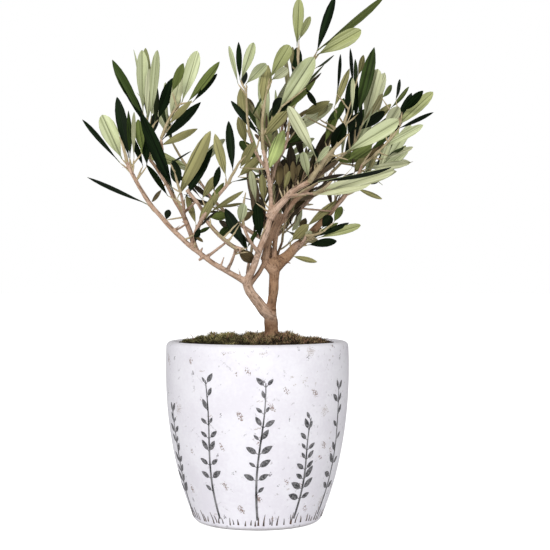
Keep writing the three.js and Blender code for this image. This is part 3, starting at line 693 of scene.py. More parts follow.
def front_leaf(row, owner, wood, random):
    """A leaf that shows from the front, and the side twig it stands on where its root is off the wood."""
    places = np.concatenate([stem.line(WOOD_STEPS + 1) for stem in wood])
    before = np.array(row.root) - TWIG_BEFORE_LEAF * (np.array(row.tip) - row.root)
    nearest = places[lengths(picture_point(places) - before).argmin()]
    root = behind_point(row.root, nearest[1] - row.nearer)
    scale = (nearest[1] - VIEW_FROM[1]) / VIEW_FOCUS
    span = math.dist(row.root, row.tip) * scale
    under = row.kind in SHOWS_UNDERSIDE
    full = FRONT_FULL * (SPRAYS[owner].leaf if owner in SPRAYS else BOUGH_LEAF)
    nearer = under or row.nearer > 0 or (row.kind == "khaki" and random() > 0.5)
    lean = max(math.sqrt(max(full**2 - span**2, 0)), FRONT_LEAST_LEAN * span, row.forward)
    line = behind_point(row.tip, nearest[1] + (-lean if nearer else lean)) - root
    length = np.linalg.norm(line)
    aim = line / length
    width = max(row.wide * scale, FRONT_NARROWEST * length)
    to_view = unit(VIEW_FROM - root)
    flat_on = unit(to_view - aim * to_view.dot(aim)) * (-1 if under else 1)
    turn = math.acos(min(1, row.wide * scale / width)) * (1 if random() > 0.5 else -1)
    face = turned(flat_on, aim, turn)
    bend = (random() - 0.5) * LEAF_BEND * FRONT_BEND
    kind = SHOWS_UNDERSIDE.get(row.kind, row.kind)
    blunt = mix(*UNDERSIDE_BLUNT, random()) if under else TOPSIDE_BLUNT * random()
    leaf = Leaf(root, aim, face, np.cross(aim, face), length, width, bend, kind, owner, blunt)
    return leaf, Stem(nearest, root, NO_BOW, SIDE_TWIG_RADII)


class FrontView:
    """What has to stay in sight from the front: the leaves placed for it, some wood and open sky."""

    def __init__(self, leaves, limbs):
        lines = [(leaf.root, leaf.root + leaf.aim * leaf.length, COVERS * leaf.width) for leaf in leaves]
        for name, share in SHOWN_WOOD.items():
            steps = np.linspace(0, share, SAMPLE_STEPS + 1)
            lines += [(limbs[name].point(a), limbs[name].point(b), limbs[name].radius(b))
                      for a, b in zip(steps, steps[1:])]
        self.roots, self.tips = (np.array([line[end] for line in lines]) for end in (0, 1))
        self.starts = picture_point(self.roots)
        self.runs = picture_point(self.tips) - self.starts
        self.reach = np.array([line[2] for line in lines]) * VIEW_FOCUS / (self.roots[:, 1] - VIEW_FROM[1])

    def fills_sky(self, points):
        seen = picture_point(points)
        gaps = np.array([lengths(seen - (x, y)) - radius for x, y, radius in OPEN_SKY])
        return (gaps.min(axis=0) < 0).sum() > SPILL

    def hides(self, points):
        seen = picture_point(points)[:, None] - self.starts[None]
        along = np.clip((seen * self.runs).sum(axis=2) / (self.runs**2).sum(axis=1), 0, 1)
        gaps = lengths(seen - along[..., None] * self.runs)
        depth = mix(self.roots[:, 1], self.tips[:, 1], along)
        return ((gaps < self.reach) & (points[:, 1:2] < depth)).any(axis=1).sum() > SPILL

    def spoils(self, points):
        return self.fills_sky(points) or self.hides(points)


def side_shoot(line, share, rule, random):
    """A thin stem that leaves a limb sideways and turns upwards."""
    spoke = line.spoke(share, 360 * random())
    aim = unit(leaning(line.tangent(share), spoke, rule.spread) + np.array((0, 0, rule.rise)))
    length = mix(*rule.lengths, random())
    root = line.point(share)
    bow = spoke * length * (random() - rule.straight) * rule.bow
    return Stem(root, root + aim * length, bow, rule.radii)


def fine_shoots(limbs):
    """Thin shoots with small leaves that fill the heart of the crown."""
    for number, (host, (first, count)) in enumerate(FINE_HOSTS.items()):
        random = seeded_random(FINE_SEED + number)
        for shoot in range(count):
            share = mix(first, 1, (shoot + random()) / count)
            stem = side_shoot(limbs[host], share, FINE_SHOOT, random)
            leaf = mix(*FINE_LEAVES, random())
            roll = 360 * random()
            seed = FINE_SEED + number * SEEDS_PER_HOST + shoot
            yield host, Spray(host, None, None, FINE_PAIRS, leaf, FINE_LEAF_SPREAD, roll, 0, seed), stem


def bare_twigs(limbs, view):
    """Leafless brown twigs that stand up in the heart of the crown, their darkness partly painted shade
    there.
    """
    random = seeded_random(BARE_SEED)
    for host, first in BARE_HOSTS.items():
        for number in range(BARE_COUNT):
            share = mix(first, 1, (number + random()) / BARE_COUNT)
            twig = side_shoot(limbs[host], share, BARE_TWIG, random)
            if not view.spoils(twig.line(WOOD_STEPS)):
                yield twig


@functools.cache
def whole_tree():
    """Every limb, twig and leaf, grown once."""
    limbs = {"trunk": Trunk()}
    for name, limb in LIMBS.items():
        limbs[name] = Stem(limbs[limb.base].point(limb.at), limb.tip, limb.bow, limb.radii)
    sprays = {name: grow_spray(spec, limbs[spec.on]) for name, spec in SPRAYS.items()}
    sprouts = [(name, twig) for name, (grown, _) in sprays.items() for twig in grown]
    crowd = Crowd([*limbs.items(), *sprouts])
    twigs = [twig for _, twig in sprouts]
    random = seeded_random(FRONT_SEED)
    for owner, rows in FRONT_LEAVES.items():
        carriers = [*sprays[owner][0], limbs[SPRAYS[owner].on]] if owner in sprays else [limbs[owner]]
        for row in rows:
            leaf, twig = front_leaf(FrontLeaf(row[:2], row[2:4], *row[4:]), owner, carriers, random)
            crowd.add(leaf)
            twigs.append(twig)
    view = FrontView(crowd.grown(), limbs)
    seated = [(name, SPRAYS[name], seat, LEAF_KINDS.get(name, OTHER_KINDS))
              for name, (_, seats) in sprays.items() for seat in seats]
    for host, spec, shoot in fine_shoots(limbs):
        if view.spoils(shoot.line(WOOD_STEPS)):
            continue
        seats = []
        climb(shoot, spec, seeded_random(spec.seed), spec.pairs, 0, [], seats)
        twigs.append(shoot)
        kinds = DARK_KINDS if host in DARK_HOSTS else FINE_KINDS
        seated += [(host, spec, seat, kinds) for seat in seats]
    for owner, spec, seat, kinds in seated:
        for attempt in range(LEAF_TRIES):
            leaf = leaf_on(seat, spec, attempt, kinds, owner)
            if not view.spoils(leaf_samples(leaf)[1]) and crowd.admits(leaf):
                crowd.add(leaf)
                break
    return Tree(limbs, twigs, list(bare_twigs(limbs, view)), crowd.grown())


def pick(obj):
    """Makes one object the only one selected, and active."""
    bpy.ops.object.select_all(action="DESELECT")
    obj.select_set(True)
    bpy.context.view_layer.objects.active = obj


def finish_with(obj, kind, **settings):
    """Adds a modifier to a piece and applies it."""
    pick(obj)
    modifier = obj.modifiers.new(kind.title(), kind)
    for name, value in settings.items():
        setattr(modifier, name, value)
    bpy.ops.object.modifier_apply(modifier=modifier.name)


def roughen(obj, size, strength, depth=2):
    """Pushes a surface in and out by a soft noise whose lumps have the given size, in millimetres."""
    lumps = bpy.data.textures.new(obj.name + "_lumps", "CLOUDS")
    lumps.noise_scale = size * MM
    lumps.noise_depth = depth
    finish_with(obj, "DISPLACE", texture=lumps, texture_coords="LOCAL",
                strength=strength * MM, mid_level=0.5)
    bpy.data.textures.remove(lumps)


def settle(obj, materials, replaced=()):
    """Dresses a finished piece and lets it ride with the pot."""
    obj.data.name = obj.name
    for material in materials:
        obj.data.materials.append(material)
    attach(obj, BODY)
    if replaced:
        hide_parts(*replaced)
    return obj


def piece_of(name, places, faces, slots):
    """A joined mesh of many small things, from places in millimetres."""
    mesh = bpy.data.meshes.new(name)
    mesh.from_pydata((np.asarray(places) * MM).tolist(), [], faces)
    mesh.polygons.foreach_set("material_index", slots)
    obj = bpy.data.objects.new(name, mesh)
    bpy.context.collection.objects.link(obj)
    return obj


def smoothed(obj):
    pick(obj)
    bpy.ops.object.shade_smooth()


def store(obj, name, values):
    """Keeps a value at each corner of a piece, for its materials."""
    layer = obj.data.attributes.new(name, "FLOAT", "POINT")
    layer.data.foreach_set("value", np.asarray(values, np.float32).ravel())


def ring_up(name, profile, segments):
    """Models a round form ring by ring: a disc at the first ring, extruded and scaled to each next one."""
    (radius, height), *rings = [(r * MM, h * MM) for r, h in profile]
    foot = (0, 0, height)
    bpy.ops.mesh.primitive_circle_add(vertices=segments, radius=radius, fill_type="NGON", location=foot)
    form = bpy.context.object
    form.name = name
    bpy.ops.object.transform_apply(location=True, rotation=True, scale=True)
    bpy.ops.object.mode_set(mode="EDIT")
    bpy.ops.mesh.select_all(action="SELECT")
    for next_radius, next_height in rings:
        rise = (0, 0, next_height - height)
        bpy.ops.mesh.extrude_region_move(TRANSFORM_OT_translate={"value": rise})
        scale = next_radius / radius
        bpy.ops.transform.resize(value=(scale, scale, 1), center_override=(0, 0, next_height))
        radius, height = next_radius, next_height
    bpy.ops.mesh.select_all(action="SELECT")
    bpy.ops.mesh.normals_make_consistent(inside=False)
    bpy.ops.object.mode_set(mode="OBJECT")
    return form


def drawn_wood(name, lines, sides):
    """Round limbs drawn as one curve with a radius at each point, made a mesh."""
    bpy.ops.curve.primitive_nurbs_path_add()
    drawn = bpy.context.object
    drawn.location = (0, 0, 0)
    drawn.data.splines.clear()
    drawn.data.bevel_depth = MM
    drawn.data.bevel_resolution = sides
    drawn.data.use_fill_caps = True
    drawn.data.twist_mode = "MINIMUM"
    for points, radii in lines:
        spline = drawn.data.splines.new("POLY")
        spline.points.add(len(points) - 1)
        spline.points.foreach_set("co", np.c_[points * MM, np.ones(len(points))].ravel())
        spline.points.foreach_set("radius", np.asarray(radii, float))
    pick(drawn)
    bpy.ops.object.convert(target="MESH")
    drawn = bpy.context.object
    drawn.name = name
    return drawn


# Materials

# The sockets of a mixing node that take and give colours
MIX_COLORS = (0, 6, 7)
MIXED_COLOR = 2


def tone(color):
    return (*color[:3], 1)


def feed(tree, socket, value):
    """Links an input to another node's output, or sets it to a plain value."""
    if isinstance(value, bpy.types.NodeSocket):
        tree.links.new(value, socket)
    else:
        socket.default_value = value


def place(tree, kind, settings=None, **inputs):
    """Adds a node, with its own settings, and sets or links its inputs by name."""
    made = tree.nodes.new(kind)
    for name, value in (settings or {}).items():
        setattr(made, name, value)
    for name, value in inputs.items():
        feed(tree, made.inputs[name.replace("_", " ")], value)
    return made


def blended(tree, share, first, second):
    """A colour between two others."""
    made = place(tree, "ShaderNodeMix", {"data_type": "RGBA"})
    for number, value in zip(MIX_COLORS, (share, first, second)):
        feed(tree, made.inputs[number], value)
    return made.outputs[MIXED_COLOR]


def maths(tree, operation, first, second=0.0):
    made = place(tree, "ShaderNodeMath", {"operation": operation})
    for socket, value in zip(made.inputs, (first, second)):
        feed(tree, socket, value)
    return made.outputs[0]


def scaled(tree, value, factor):
    return maths(tree, "MULTIPLY", value, factor)


def rest(tree, value):
    return maths(tree, "SUBTRACT", 1.0, value)


def eased(tree, value, low, high):
    """A value's rise from 0 to 1 between two limits."""
    made = place(tree, "ShaderNodeMapRange", {"interpolation_type": "SMOOTHSTEP"}, Value=value,
                 From_Min=low, From_Max=high)
    return made.outputs["Result"]


def attribute(tree, name):
    """A value that a piece keeps at its corners."""
    return place(tree, "ShaderNodeAttribute", {"attribute_name": name}).outputs["Fac"]


def object_spot(tree):
    return tree.nodes.new("ShaderNodeTexCoord").outputs["Object"]


# A socket's kind, by how many numbers it holds
SOCKET_KINDS = {1: "NodeSocketFloat", 3: "NodeSocketVector", 4: "NodeSocketColor"}


def new_group(name, inputs, outputs):
    """A shader node group with inputs by their defaults, and outputs by how many numbers they hold."""
    group = bpy.data.node_groups.new(name, "ShaderNodeTree")
    for label, default in inputs.items():
        kind = SOCKET_KINDS[np.size(default)]
        group.interface.new_socket(label, in_out="INPUT", socket_type=kind).default_value = default
    for label, size in outputs.items():
        group.interface.new_socket(label, in_out="OUTPUT", socket_type=SOCKET_KINDS[size])
    return group, group.nodes.new("NodeGroupInput"), group.nodes.new("NodeGroupOutput")


PATCH_WEIGHT = 0.65
GRAIN_WEIGHT = 0.35
PATCH_EDGES = (0.36, 0.64)


@functools.cache
def patchy_group():
    """Soft patches of two colours, with finer grain in them, and the height of that grain."""
    group, given, result = new_group(
        "Patchy Tone",
        {"First": (0, 0, 0, 1), "Second": (1, 1, 1, 1), "Patch Scale": 60.0, "Grain Scale": 600.0},
        {"Color": 4, "Height": 1},
    )
    spot = object_spot(group)
    patches, grain = (
        place(group, "ShaderNodeTexNoise", Vector=spot, Scale=given.outputs[scale], Detail=detail).outputs[0]
        for scale, detail in (("Patch Scale", 3), ("Grain Scale", 4))
    )
    both = maths(group, "ADD", scaled(group, patches, PATCH_WEIGHT), scaled(group, grain, GRAIN_WEIGHT))
    share = eased(group, both, *PATCH_EDGES)
    color = blended(group, share, given.outputs["First"], given.outputs["Second"])
    group.links.new(color, result.inputs["Color"])
    group.links.new(grain, result.inputs["Height"])
    return group


RAGGED_SCALE = 1100.0
RAGGED_EDGES = (0.38, 0.62)
RAGGED_REACH = 1.3
ROUND_FLECKS = (1.0, 1.0, 2.0)
LONG_FLECKS = (1.0, 1.0, 12.0)
FLECKS_TURN = (0.0, 0.5, 0.0)


@functools.cache
def flecks_group():
    """Scattered small marks: a share of the cells of a stretched cell pattern holds one each."""
    group, given, result = new_group(
        "Flecks",
        {"Scale": 90.0, "Share": 0.1, "Size": 0.2, "Turn": FLECKS_TURN, "Stretch": ROUND_FLECKS},
        {"Mask": 1},
    )
    spot = object_spot(group)
    lie = place(group, "ShaderNodeMapping", {"vector_type": "TEXTURE"}, Vector=spot,
                Rotation=given.outputs["Turn"], Scale=given.outputs["Stretch"])
    ragged = place(group, "ShaderNodeTexNoise", Vector=spot, Scale=RAGGED_SCALE, Detail=3)
    cells = place(group, "ShaderNodeTexVoronoi", Vector=lie.outputs[0], Scale=given.outputs["Scale"])
    chance = place(group, "ShaderNodeSeparateColor", Color=cells.outputs["Color"]).outputs[0]
    chosen = maths(group, "LESS_THAN", chance, given.outputs["Share"])
    broken = scaled(group, eased(group, ragged.outputs[0], *RAGGED_EDGES), RAGGED_REACH)
    reach = maths(group, "MULTIPLY", given.outputs["Size"], broken)
    inside = maths(group, "LESS_THAN", cells.outputs["Distance"], reach)
    group.links.new(maths(group, "MULTIPLY", chosen, inside), result.inputs["Mask"])
    return group


# Runs along a blade: their mask, how fine they are across and along it, and the noise at their edges
BLADE_RUNS = (("Streaks", 5.0, 0.9, 0.44, 0.62), ("Lines", 9.0, 0.5, 0.53, 0.64))
TONE_SPREAD = 90.0
VEINS_ALONG = 85.0
VEINS_ACROSS = 26.0

# Where the other masks rise on a blade: the wave of its veins, then shares of its width and length. The half
# and root masks darken one half of the blade and its root as painted shade.
VEIN_EDGES = (0.55, 1.0)
MARGIN_EDGES = (0.38, 0.5)
HALF_SHADE_EDGES = (0.4, 0.6)
ROOT_SHADE_EDGES = (0.55, 0.95)


@functools.cache
def veins_group():
    """A blade's light streaks, fine dark lines, side veins and margin, and its painted shade on one half and
    at its root, read from its own map and tone.
    """
    masks = ("Streaks", "Lines", "Veins", "Margin", "Half", "Root")
    group, _, result = new_group("Blade Veins", {}, dict.fromkeys(masks, 1))
    blade = place(group, "ShaderNodeUVMap", {"uv_map": "blade"})
    across, along, _ = place(group, "ShaderNodeSeparateXYZ", Vector=blade.outputs[0]).outputs
    own = scaled(group, attribute(group, "tone"), TONE_SPREAD)
    for mask, wide, long, low, high in BLADE_RUNS:
        lie = place(group, "ShaderNodeCombineXYZ", X=scaled(group, across, wide),
                    Y=scaled(group, along, long), Z=own)
        runs = place(group, "ShaderNodeTexNoise", Vector=lie.outputs[0], Scale=1.0, Detail=2)
        group.links.new(eased(group, runs.outputs[0], low, high), result.inputs[mask])
    off_rib = maths(group, "ABSOLUTE", maths(group, "SUBTRACT", across, 0.5))
    slant = maths(group, "SUBTRACT", scaled(group, along, VEINS_ALONG), scaled(group, off_rib, VEINS_ACROSS))
    rises = (("Veins", maths(group, "SINE", slant), VEIN_EDGES), ("Margin", off_rib, MARGIN_EDGES),
             ("Half", across, HALF_SHADE_EDGES), ("Root", rest(group, along), ROOT_SHADE_EDGES))
    for mask, value, edges in rises:
        group.links.new(eased(group, value, *edges), result.inputs[mask])
    return group


def use_group(tree, group, **inputs):
    return place(tree, "ShaderNodeGroup", {"node_tree": group}, **inputs).outputs


def patches(tree, first, second, patch_scale, grain_scale):
    """The colour of soft patches, and the height of their grain, whose scales are per metre."""
    return use_group(tree, patchy_group(), First=tone(first), Second=tone(second),
                     Patch_Scale=patch_scale, Grain_Scale=grain_scale)


def paint(tree, shader, color):
    tree.links.new(color, shader.inputs["Base Color"])


# How deep flecks lie in the glaze, and its greyer foot: where it fades, in metres, and its share
FLECK_DEPTH = 0.8
WORN_FOOT = (0.0005, 0.004)
WORN_SHARE = 0.6

# A leaf's colours: how far its own tone and its dark lines show, its gleam and its bloom
OWN_TONE = 0.45
LINED_TOP = 0.7
LINED_UNDER = 0.4
GLEAM = 1.5
GLEAM_LIFT = (0.005, 0.012, 0.003)
FROST = 1.3
FROST_GREY = 0.2

# How moss rises out of its painted shade into its painted light, and how furrows show in bark
MOSS_EDGES = (0.1, 0.95)
# The furrows' dark is partly the bark's own and partly painted shade in them
FURROW_EDGES = (0.22, 0.6)
FURROW_SHARE = 0.62


def new_finish(name, roughness, shine):
    """A material with its shader, whose plain values are set on the shader itself."""
    material = bpy.data.materials.new(name)
    material.use_nodes = True
    shader = material.node_tree.nodes["Principled BSDF"]
    shader.inputs["Roughness"].default_value = roughness
    shader.inputs["Specular IOR Level"].default_value = shine
    return material, material.node_tree, shader


def emboss(tree, shader, height, strength, distance):
    """Raises a surface by a height, as a bump of a distance in millimetres."""
    bump = place(tree, "ShaderNodeBump", Height=height, Strength=strength, Distance=distance * MM)
    tree.links.new(bump.outputs[0], shader.inputs["Normal"])


def patchy_finish(name, first, second, patch, grain, roughness, shine, bump):
    """A finish of soft patches, whose sizes are in millimetres."""
    material, tree, shader = new_finish(name, roughness, shine)
    color, height = patches(tree, first, second, 1 / (patch * MM), 1 / (grain * MM))
    paint(tree, shader, color)
    emboss(tree, shader, height, strength=0.6, distance=bump)
    return material


def leaf_finish(name, color, light, dark, roughness, shine, lined=LINED_TOP):
    """A leaf's side: its base colour with lighter streaks, fine darker lines and a darker margin, and
    painted shade on one half and towards its root.
    """
    material, tree, shader = new_finish(name, roughness, shine)
    drawn = use_group(tree, veins_group())
    body = blended(tree, scaled(tree, attribute(tree, "tone"), OWN_TONE), tone(color), tone(light))
    # The half and root masks darken the blade as painted shade
    for mask, share, other in (("Streaks", 0.75, light), ("Veins", 0.15, light), ("Half", 0.22, dark),
                               ("Root", 0.45, dark), ("Lines", lined, dark), ("Margin", 0.4, dark)):
        body = blended(tree, scaled(tree, drawn[mask], share), body, tone(other))
    paint(tree, shader, body)
    emboss(tree, shader, drawn["Streaks"], strength=0.3, distance=0.2)
    return material


def toned(color, share):
    """A colour made lighter or darker by a share."""
    return tuple(min(1, channel * share) for channel in color[:3])


def gleam(color):
    """A leaf's colour where it catches the light."""
    return tuple(min(1, channel * GLEAM + lift) for channel, lift in zip(color[:3], GLEAM_LIFT))


def frosted(color):
    """An underside's colour where its bloom is thickest."""
    return tuple(min(1, FROST * mix(channel, max(color[:3]), FROST_GREY)) for channel in color[:3])


def leaf_finishes(kind, top, under):
    """The four finishes of one kind of leaf: upper side, underside, and the midrib on each."""
    # The gleam lights the upper side's streaks, veins and midrib: partly the leaf's paler veins and rib,
    # partly a painted highlight
    rib = gleam(top)
    # Each side: its colour, its light and dark, its roughness and shine, and how far its lines show
    sides = (
        ("leaf_top", top, rib, toned(top, 0.22), 0.5, 0.05, LINED_TOP),
        ("leaf_under", under, frosted(under), toned(under, 0.25), 0.75, 0.1, LINED_UNDER),
        ("rib_top", toned(rib, 0.8), rib, top, 0.5, 0.06, LINED_TOP),
        # The underside's midrib is darker, painted as the shade along its raised side
        ("rib_under", toned(under, 0.48), toned(under, 0.7), toned(under, 0.3), 0.75, 0.1, LINED_TOP),
    )
    return [leaf_finish(f"{kind}_{side}", *row) for side, *row in sides]


def glaze_finish(settings):
    """White glaze with grey clouds, brown and dark flecks, faint scratches and a greyer foot."""
    material, tree, shader = new_finish("speckled_glaze", roughness=0.34, shine=0.4)
    marks, height = patches(tree, settings.glaze, settings.glaze_cloud, 42.0, 420.0)
    # Each round of marks: its colour and strength, and its cells' scale, share, size, turn and stretch
    rounds = (
        (settings.fleck_tan, 0.5, 75.0, 0.12, 0.22, (0.2, 0.9, 0.0), ROUND_FLECKS),
        (settings.fleck_brown, 0.85, 130.0, 0.12, 0.23, (0.3, -0.6, 0.0), ROUND_FLECKS),
        (settings.fleck_dark, 0.75, 220.0, 0.07, 0.25, (0.0, 0.3, 0.4), ROUND_FLECKS),
        (settings.fleck_grey, 0.5, 200.0, 0.8, 0.13, (0.5, 0.9, 0.0), LONG_FLECKS),
        (settings.fleck_grey, 0.45, 180.0, 0.8, 0.13, (-0.5, -0.7, 0.3), LONG_FLECKS),
        (settings.fleck_tan, 0.5, 150.0, 0.6, 0.12, (0.4, 1.4, 0.2), LONG_FLECKS),
        (settings.fleck_grey, 0.55, 520.0, 0.03, 0.3, FLECKS_TURN, ROUND_FLECKS),
    )
    for color, strength, scale, share, size, turn, stretch in rounds:
        mask = use_group(tree, flecks_group(), Scale=scale, Share=share, Size=size, Turn=turn,
                         Stretch=stretch)["Mask"]
        marks = blended(tree, scaled(tree, mask, strength), marks, tone(color))
        height = maths(tree, "SUBTRACT", height, scaled(tree, mask, FLECK_DEPTH))
    level = place(tree, "ShaderNodeSeparateXYZ", Vector=object_spot(tree)).outputs[2]
    foot = scaled(tree, rest(tree, eased(tree, level, *WORN_FOOT)), WORN_SHARE)
    paint(tree, shader, blended(tree, foot, marks, tone(settings.foot_grey)))
    emboss(tree, shader, height, strength=0.35, distance=0.5)
    return material


def moss_finish(settings, first, second):
    """Moss in soft patches of two colours, dark with painted shade at the root of each strand and in
    hollows, and brighter with painted light towards the tips.
    """
    material, tree, shader = new_finish(first + "_moss", roughness=0.9, shine=0.15)
    color, _ = patches(tree, getattr(settings, first), getattr(settings, second), 240.0, 1400.0)
    # The height attribute holds each strand's painted light and shade
    height = eased(tree, attribute(tree, "height"), *MOSS_EDGES)
    paint(tree, shader, blended(tree, height, tone(settings.shade), color))
    return material


def bark_finish(settings):
    """Pinkish bark, paler on thin boughs, with dark furrows that follow the relief, their dark partly
    painted shade.
    """
    material, tree, shader = new_finish("olive_bark", roughness=0.82, shine=0.25)
    young, _ = patches(tree, settings.young_bark, settings.pale_bark, 110.0, 700.0)
    old, height = patches(tree, settings.old_bark, settings.worn_bark, 90.0, 650.0)
    body = blended(tree, attribute(tree, "age"), young, old)
    # Darker where the relief is low: partly painted shade in the furrows
    furrow = rest(tree, eased(tree, attribute(tree, "relief"), *FURROW_EDGES))
    paint(tree, shader, blended(tree, scaled(tree, furrow, FURROW_SHARE), body, tone(settings.furrow)))
    emboss(tree, shader, height, strength=0.5, distance=0.25)
    return material


# Settings


def amount_of(label, text, default, **kind):
    return bpy.props.FloatProperty(name=label, description=text, default=default, min=0.0, **kind)


def length_of(label, text, default):
    return amount_of(label, text, default, unit="LENGTH")


def color_of(label, text, default):
    return bpy.props.FloatVectorProperty(
        name=label, description=text, default=default, subtype="COLOR", min=0.0, max=1.0)


class PotSettings(bpy.types.PropertyGroup):
    """The pot's finish and the sprigs drawn on it."""

    glaze: color_of("Glaze", "The pot's white glaze", (0.93, 0.915, 0.97))
    glaze_cloud: color_of("Glaze clouds", "Fainter patches in the glaze", (0.86, 0.835, 0.9))
    fleck_tan: color_of("Tan flecks", "Soft smudges in the glaze", (0.4, 0.32, 0.27))
    fleck_brown: color_of("Brown flecks", "Rusty marks in the glaze", (0.21, 0.12, 0.08))
    fleck_dark: color_of("Dark flecks", "Small dark marks in the glaze", (0.12, 0.11, 0.12))
    fleck_grey: color_of("Scratches", "Long faint scratches", (0.45, 0.43, 0.45))
    foot_grey: color_of("Foot", "The worn edge round the foot", (0.38, 0.36, 0.33))
    ink: color_of("Ink", "The drawn sprigs", (0.02, 0.02, 0.023))
    ink_worn: color_of("Worn ink", "Where the sprigs are rubbed", (0.26, 0.255, 0.265))
    grass: color_of("Grass", "The short strokes round the foot", (0.15, 0.085, 0.05))
    unevenness: length_of("Unevenness", "How far the hand-made wall strays", 0.0005)


class WoodSettings(bpy.types.PropertyGroup):
    """The trunk's and boughs' bark."""

    pale_bark: color_of("Pale bark", "Sunlit bark of the boughs", (0.79, 0.585, 0.46))
    young_bark: color_of("Young bark", "Bark of the boughs", (0.49, 0.33, 0.235))
    worn_bark: color_of("Worn bark", "Lighter bark of the trunk", (0.39, 0.235, 0.135))
    old_bark: color_of("Old bark", "Bark of the trunk", (0.235, 0.122, 0.066))
    # The furrows' dark is partly painted shade
    furrow: color_of("Furrows", "The dark of the furrows", (0.07, 0.038, 0.022))
    shoot: color_of("Shoots", "Bark of the leafy shoots", (0.38, 0.305, 0.165))
    shoot_pale: color_of("Pale shoots", "Lighter bark of the shoots", (0.54, 0.44, 0.28))
    # The bare twigs' dark bark is partly their own colour and partly painted shade in the heart of the crown
    bare: color_of("Bare twigs", "Bark of the leafless twigs", (0.1, 0.062, 0.035))
    bare_pale: color_of("Pale bare twigs", "Lighter bark of the leafless twigs", (0.26, 0.19, 0.12))
    relief: length_of("Relief", "How deep the bark's furrows are", 0.0007)
    voxel: length_of("Fineness", "The step that the limbs are fused at", 0.00055)


class LeafSettings(bpy.types.PropertyGroup):
    """The leaves' upper and lower sides, by kind."""

    deep_top: color_of("Deep green", "Upper side of full-grown leaves", (0.0035, 0.0085, 0.0022))
    deep_under: color_of("Pale underside", "Underside of full-grown leaves", (0.55, 0.6, 0.32))
    dusky_top: color_of("Dusky green", "Upper side of older leaves", (0.033, 0.052, 0.012))
    dusky_under: color_of("Silver underside", "Underside of older leaves", (0.57, 0.59, 0.34))
    green_top: color_of("Fresh green", "Upper side of this year's leaves", (0.13, 0.16, 0.045))
    green_under: color_of("Fresh underside", "Underside of this year's leaves", (0.4, 0.43, 0.168))
    khaki_top: color_of("Khaki", "Upper side of ageing leaves", (0.275, 0.255, 0.112))
    khaki_under: color_of("Khaki underside", "Underside of ageing leaves", (0.295, 0.27, 0.125))
    dry_top: color_of("Dry brown", "Upper side of dry leaves in the heart", (0.122, 0.09, 0.044))
    dry_under: color_of("Dry underside", "Underside of dry leaves", (0.165, 0.118, 0.07))
    # Shadowed leaves are painted shade: dark brown on both sides, they fill the heart of the crown
    withered_top: color_of("Withered", "Upper side of withered leaves in the heart", (0.03, 0.022, 0.012))
    withered_under: color_of("Shadowed underside", "Underside of withered leaves", (0.05, 0.038, 0.023))
    young_top: color_of("Young green", "Upper side of new leaves", (0.42, 0.5, 0.19))
    young_under: color_of("Young underside", "Underside of new leaves", (0.5, 0.62, 0.24))


class MossSettings(bpy.types.PropertyGroup):
    """The moss and the soil under it."""

    green: color_of("Green moss", "Fresh moss on the left", (0.5, 0.5, 0.18))
    olive: color_of("Olive moss", "Drier moss", (0.66, 0.55, 0.27))
    brown: color_of("Brown moss", "Dry moss on the right", (0.56, 0.3, 0.19))
    # Painted shade: the dark between the strands and at their roots, the moss bed's colour, and the darker
    # patches of the soil
    shade: color_of("Moss bed", "The dark between the strands", (0.016, 0.012, 0.007))
    soil: color_of("Soil", "Damp potting soil", (0.03, 0.02, 0.013))
    strands: bpy.props.IntProperty(
        name="Strands", description="How many strands stand up", default=14000, min=0)
    strand: length_of("Strand length", "Length of a moss strand", 0.0026)


class StageSettings(bpy.types.PropertyGroup):
    """The floor, the lights and the camera."""

    floor: color_of("Floor", "The pale floor", (0.95, 0.95, 0.95))
    sky: amount_of("Sky light", "Brightness of the even light all round", 0.36)
    key: amount_of("Key light", "Power of the soft box", 16.8, unit="POWER")
    fill: amount_of("Fill light", "Power of the far box", 3.5, unit="POWER")


# Pieces

# The pot's rings and segments, and the lumps in its hand-made wall, by size and depth in millimetres
POT_FOOT_INSET = 3
POT_ROUND_STEPS = 7
POT_WALL_RINGS = 26
POT_INNER_RINGS = 10
POT_SEGMENTS = 120
POT_SWAY_SIZE = 55
POT_DIMPLE_SIZE = 7
POT_DIMPLE_DEPTH = 0.16


def pot_radius(height):
    return POT_RADIUS * math.sqrt(1 - ((POT_WIDEST_AT - height) / POT_CURVE_REACH) ** 2)


def pot_profile():
    """The pot's rings from its foot up the outside, over the lip and down the inside to its floor."""
    shoulder = POT_HEIGHT - POT_LIP
    half = POT_WALL / 2
    crest = pot_radius(shoulder) - half
    foot_reach = pot_radius(POT_FOOT_ROUND) - POT_FOOT_RADIUS
    waves = [(math.sin(turn), math.cos(turn)) for turn in np.linspace(0, math.pi / 2, POT_ROUND_STEPS)]
    wall = np.linspace(POT_FOOT_ROUND, shoulder, POT_WALL_RINGS)[1:]
    inside = np.linspace(shoulder, POT_FLOOR, POT_INNER_RINGS)[1:]
    rings = [(POT_FOOT_RADIUS - POT_FOOT_INSET, 0.0)]
    rings += [(POT_FOOT_RADIUS + foot_reach * sine, POT_FOOT_ROUND * (1 - cosine)) for sine, cosine in waves]
    rings += [(pot_radius(height), height) for height in wall]
    rings += [(crest + half * cosine, shoulder + POT_LIP * sine) for sine, cosine in waves[1:]]
    rings += [(crest - half * sine, shoulder + POT_LIP * cosine) for sine, cosine in waves[1:]]
    rings += [(pot_radius(height) - POT_WALL, height) for height in inside]
    return rings


class BONSAI_OT_pot(bpy.types.Operator):
    """Models the round white pot"""

    bl_idname = "bonsai.pot"
    bl_label = "Pot"

    def execute(self, context):
        settings = context.scene.bonsai_pot
        pot = ring_up("glazed_pot", pot_profile(), POT_SEGMENTS)
        finish_with(pot, "SUBSURF", levels=1, render_levels=1)
        roughen(pot, POT_SWAY_SIZE, settings.unevenness / MM)
        roughen(pot, POT_DIMPLE_SIZE, POT_DIMPLE_DEPTH, depth=3)
        smoothed(pot)
        settle(pot, [glaze_finish(settings)], ["pot"])
        return {"FINISHED"}


